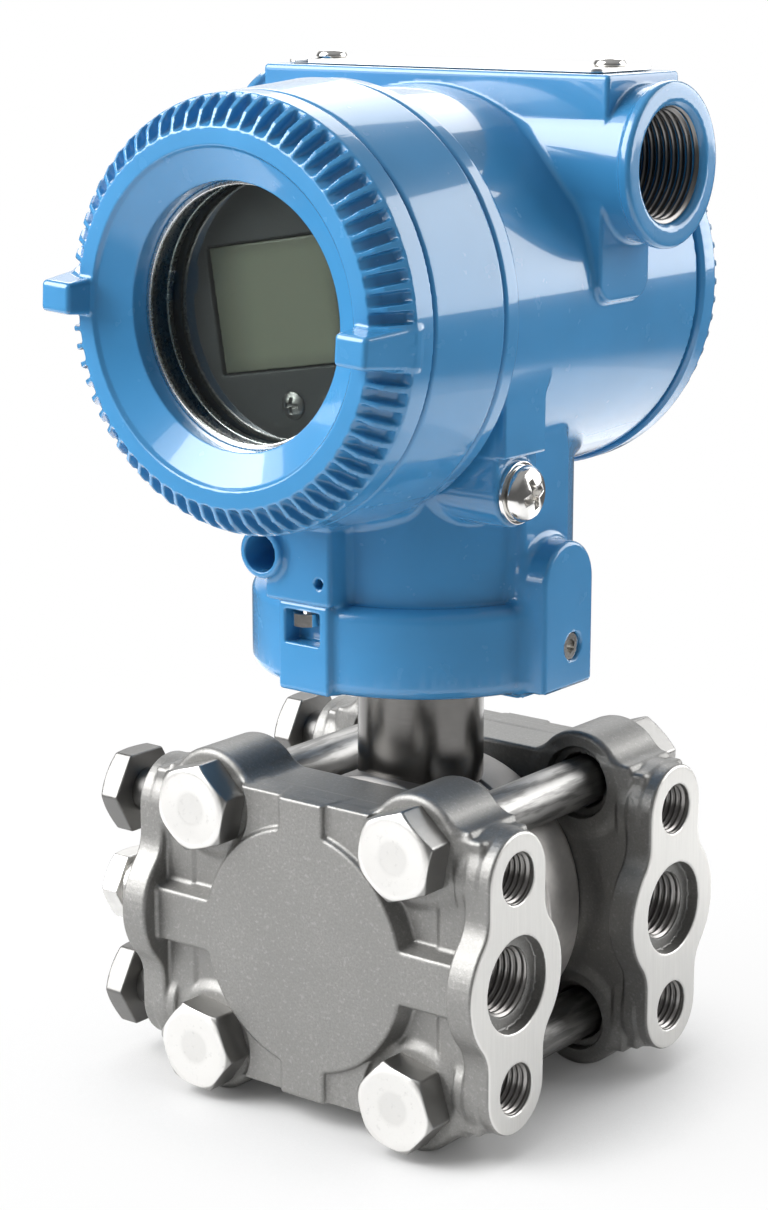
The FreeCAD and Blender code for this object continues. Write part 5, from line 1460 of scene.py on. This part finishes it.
class BuildFittings(TransmitterOperator):
    """Ground screw with its washer, nameplate with its screws, and plug."""
    bl_idname = "transmitter.fittings"
    bl_label = "Fittings"

    def execute(self, context):
        self.ground()
        self.nameplate()
        self.plug()
        return {"FINISHED"}

    def ground(self):
        """Cross-recess screw and split washer of the ground terminal."""
        head = field_part(pan_head_field(5.3, 3.4, 3.3, 0.8), 5.9, -0.5, 4.0, 0.16, 24000)
        shank = sleeve_part([(2.5, 0.0), (2.5, -10.0), (0.01, -10.0)], 32)
        spot = (GROUND_X + 1.0, GROUND_Y, GROUND_Z)
        turn = math.radians(22)
        to_right = ((0, math.cos(turn), math.sin(turn)), (0, -math.sin(turn), math.cos(turn)),
                    (1, 0, 0))
        parts = [carried(p, spot, to_right) for p in (head, shank)]
        stand_in("ground_screw_body", merged(parts), "housing", "screw_steel", "ground_screw")

        def split_washer(u, v, out):
            radius = hypot(u, v)
            ring = np.maximum(capped(radius, out, 5.9, 0.0, 1.0, 0.22), 2.55 - radius)
            slit = np.maximum(np.abs(v + out * 0.8 - 0.4) - 0.25, -u)
            return cut(ring, slit, 0.08)
        part = field_part(split_washer, 6.4, -0.4, 1.5, 0.16, 9000)
        part = carried(part, (GROUND_X, GROUND_Y, GROUND_Z), to_right)
        stand_in("ground_lock_washer", part, "housing", "screw_steel", "ground_washer")

    def nameplate(self):
        """Thin plate with a raised rim line and slotted end, and its two pan head screws."""
        def plate_field(x, y, z):
            side = np.abs(x)
            sheet = plate(side, y, z, (-9, 36.8), (4.05, 23.25), (199.7, PLATE_TOP_Z), 2.0, 0.15)
            line = np.abs(plate(side, y, z, (-9, 27.6), (6.0, 21.3), (190, 210), 1.0, 0.1)) - 0.18
            sheet = cut(sheet, np.maximum(line, 200.35 - z), 0.08)
            hole = hypot(x - PLATE_SCREW_X, y - TOP_MID_Y) - 1.6
            slot = hypot(x + PLATE_SCREW_X, np.maximum(y - TOP_MID_Y, 0)) - 1.6
            return cut(sheet, np.minimum(hole, slot), 0.08)
        part = field_mesh(plate_field, (-37.5, 3.5, 199.3), (37.5, 24, 200.9), 0.25,
                          PLATE_TRIANGLES)
        stand_in("name_plate", part, "nameplate", "plate_steel", "nameplate")
        head = field_part(pan_head_field(3.1, 1.9, 1.8, 0.42), 3.6, -0.4, 2.3, 0.12, 14000)
        shank = sleeve_part([(1.5, 0.0), (1.5, -3.9), (0.01, -3.9)], 24)
        parts = []
        for x in (PLATE_SCREW_X, -PLATE_SCREW_X):
            spot = (x, TOP_MID_Y, PLATE_TOP_Z)
            parts += [carried(head, spot, UPWARD), carried(shank, spot, UPWARD)]
        stand_in("name_plate_screws", merged(parts), "housing", "screw_steel", "nameplate_screws")

    def plug(self):
        """Dull plug of the closed conduit entry, with a hexagonal socket."""
        def field(u, v, out):
            radius = hypot(u, v)
            body = capped(radius, out, 12.4, 0.02, 3.6, 0.8)
            thread = capped(radius, out, 10.5, -14.0, 1.0, 0.6)
            body = join(body, thread, 0.3)
            socket = np.maximum(hexagon(u, v, 9.5, 0.0, 0.3), -2.4 - out)
            return cut(body, socket, 0.4)
        part = field_part(field, 13.2, -14.6, 4.4, 0.4, 12000)
        part = carried(part, (-CONDUIT_HALF_L, CONDUIT_Y, CONDUIT_Z), TO_LEFT)
        stand_in("conduit_stopper", part, "housing", "plug_beige", "conduit_plug")


class DressRest(TransmitterOperator):
    """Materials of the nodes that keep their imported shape."""
    bl_idname = "transmitter.rest"
    bl_label = "Carried-over nodes"

    def execute(self, context):
        for entry in frame["record"]["subparts"]:
            dress(frame["nodes"][entry["node"]], entry["material_slot"])
        return {"FINISHED"}


class BuildStage(TransmitterOperator):
    """Pale floor, soft boxes, white background and camera."""
    bl_idname = "transmitter.stage"
    bl_label = "Stage"

    def execute(self, context):
        self.floor()
        self.world()
        self.lamps()
        self.camera()
        return {"FINISHED"}

    def floor(self):
        """Wide floor: white to the camera away from the shadow, and dim in mirrors far away."""
        half = 6000.0
        points = np.array([(-half, -half, 0), (half, -half, 0), (half, half, 0), (-half, half, 0)])
        obj = new_object("floor", points, np.array([[0, 1, 2, 3]]))
        made, t = material("pale_floor")
        x, y = t.axes()[:2]
        away = (x * x + y * y) ** 0.5
        camera, mirror = t.rays()
        nook = t.add("ShaderNodeAmbientOcclusion", {"samples": 12}, {"Distance": CONTACT_REACH},
                     output=1)
        far = away.step_up(85.0, 330.0).math("MAXIMUM", nook.step_up(0.4, 0.97) * 0.92)
        diffuse = t.add("ShaderNodeBsdfDiffuse", {}, {"Color": (FLOOR_GREY,) * 3})
        seen = t.add("ShaderNodeBsdfDiffuse", {}, {"Color": (SEEN_GREY,) * 3})
        lifted = t.add("ShaderNodeAddShader", {}, {0: seen, 1: t.glow(FLOOR_LIFT)})
        shown = t.blend(far, lifted, t.glow(1.0))
        dimmed = t.blend(away.step_up(280.0, 380.0) * mirror, diffuse, t.glow(MIRROR_DIM))
        mixed = t.blend(camera, dimmed, shown)
        t.add("ShaderNodeOutputMaterial", {}, {"Surface": mixed})
        obj.data.materials.append(made)

    def world(self):
        """Dim even studio, white to the camera and in mirrors that face away from it."""
        world = bpy.data.worlds.new("studio")
        bpy.context.scene.world = world
        world.use_nodes = True
        t = Tree(world.node_tree)
        camera, mirror = t.rays()
        x, y, z = t.split(t.add("ShaderNodeTexCoord", output="Generated"))
        behind = (y * LOOK_Y + x * LOOK_X).step_up(0.75, 0.95)
        overhead = z.step_up(0.1, 0.9)
        mirrored = behind * 0.85 + overhead * 0.25 + MIRROR_DIM
        light = overhead * 0.22 + 0.2
        level = t.add("ShaderNodeMix", {"data_type": "FLOAT"}, {0: mirror, 2: light, 3: mirrored})
        level = t.add("ShaderNodeMix", {"data_type": "FLOAT"}, {0: camera, 2: level, 3: 1.0})
        back = t.add("ShaderNodeBackground", {}, {"Color": (1.0, 1.0, 1.0), "Strength": level})
        t.add("ShaderNodeOutputWorld", {}, {"Surface": back})

    def lamps(self):
        """Soft boxes: two at the left front, two behind and one low behind the object."""
        for name, place, aim, width, height, power in LAMPS:
            lamp = bpy.data.lights.new(name, "AREA")
            lamp.shape = "RECTANGLE"
            lamp.size = width * MM
            lamp.size_y = height * MM
            lamp.energy = power
            obj = bpy.data.objects.new(name, lamp)
            obj.location = Vector(place) * MM
            lean = (Vector(aim) - Vector(place)).to_track_quat("-Z", "Y")
            obj.rotation_euler = lean.to_euler()
            obj.visible_camera = False
            bpy.context.scene.collection.objects.link(obj)

    def camera(self):
        """Camera where the photograph was taken from."""
        lens = bpy.data.cameras.new("photo_camera")
        lens.sensor_fit = "VERTICAL"
        lens.sensor_height = 36.0
        lens.lens = CAMERA_LENS
        lens.clip_start = 0.01
        obj = bpy.data.objects.new("photo_camera", lens)
        obj.location = Vector(CAMERA_PLACE) * MM
        obj.rotation_euler = (math.radians(CAMERA_TILT_DEG), 0.0, math.radians(CAMERA_TURN_DEG))
        bpy.context.scene.collection.objects.link(obj)
        bpy.context.scene.camera = obj


BUILD_ORDER = (BuildMaterials, BuildHousing, BuildFlanges, BuildCovers, BuildThreads, BuildBolts,
               BuildSensor, BuildValves, BuildWindow, BuildDisplay, BuildFittings, DressRest,
               BuildStage)


class TransmitterPanel(bpy.types.Panel):
    """Sidebar panel with every step of the looks."""
    bl_idname = "VIEW3D_PT_transmitter"
    bl_label = "Transmitter"
    bl_space_type = "VIEW_3D"
    bl_region_type = "UI"
    bl_category = "Transmitter"

    def draw(self, context):
        for group in (context.scene.transmitter_sizes, context.scene.transmitter_colours):
            for key in group.__annotations__:
                self.layout.prop(group, key)
        for step in BUILD_ORDER:
            self.layout.operator(step.bl_idname)


CLASSES = (TransmitterSizes, TransmitterColours) + BUILD_ORDER + (TransmitterPanel,)


def register():
    """Registers the classes and hangs the properties on the scene."""
    for item in CLASSES:
        bpy.utils.register_class(item)
    bpy.types.Scene.transmitter_sizes = bpy.props.PointerProperty(type=TransmitterSizes)
    bpy.types.Scene.transmitter_colours = bpy.props.PointerProperty(type=TransmitterColours)


def unregister():
    """Takes the properties and classes away again."""
    del bpy.types.Scene.transmitter_sizes
    del bpy.types.Scene.transmitter_colours
    for item in reversed(CLASSES):
        bpy.utils.unregister_class(item)


def main():
    """Builds everything in order."""
    register()
    bpy.context.scene.view_settings.view_transform = "Standard"
    for step in BUILD_ORDER:
        group, name = step.bl_idname.split(".")
        getattr(getattr(bpy.ops, group), name)()


if __name__ == "__main__":
    main()
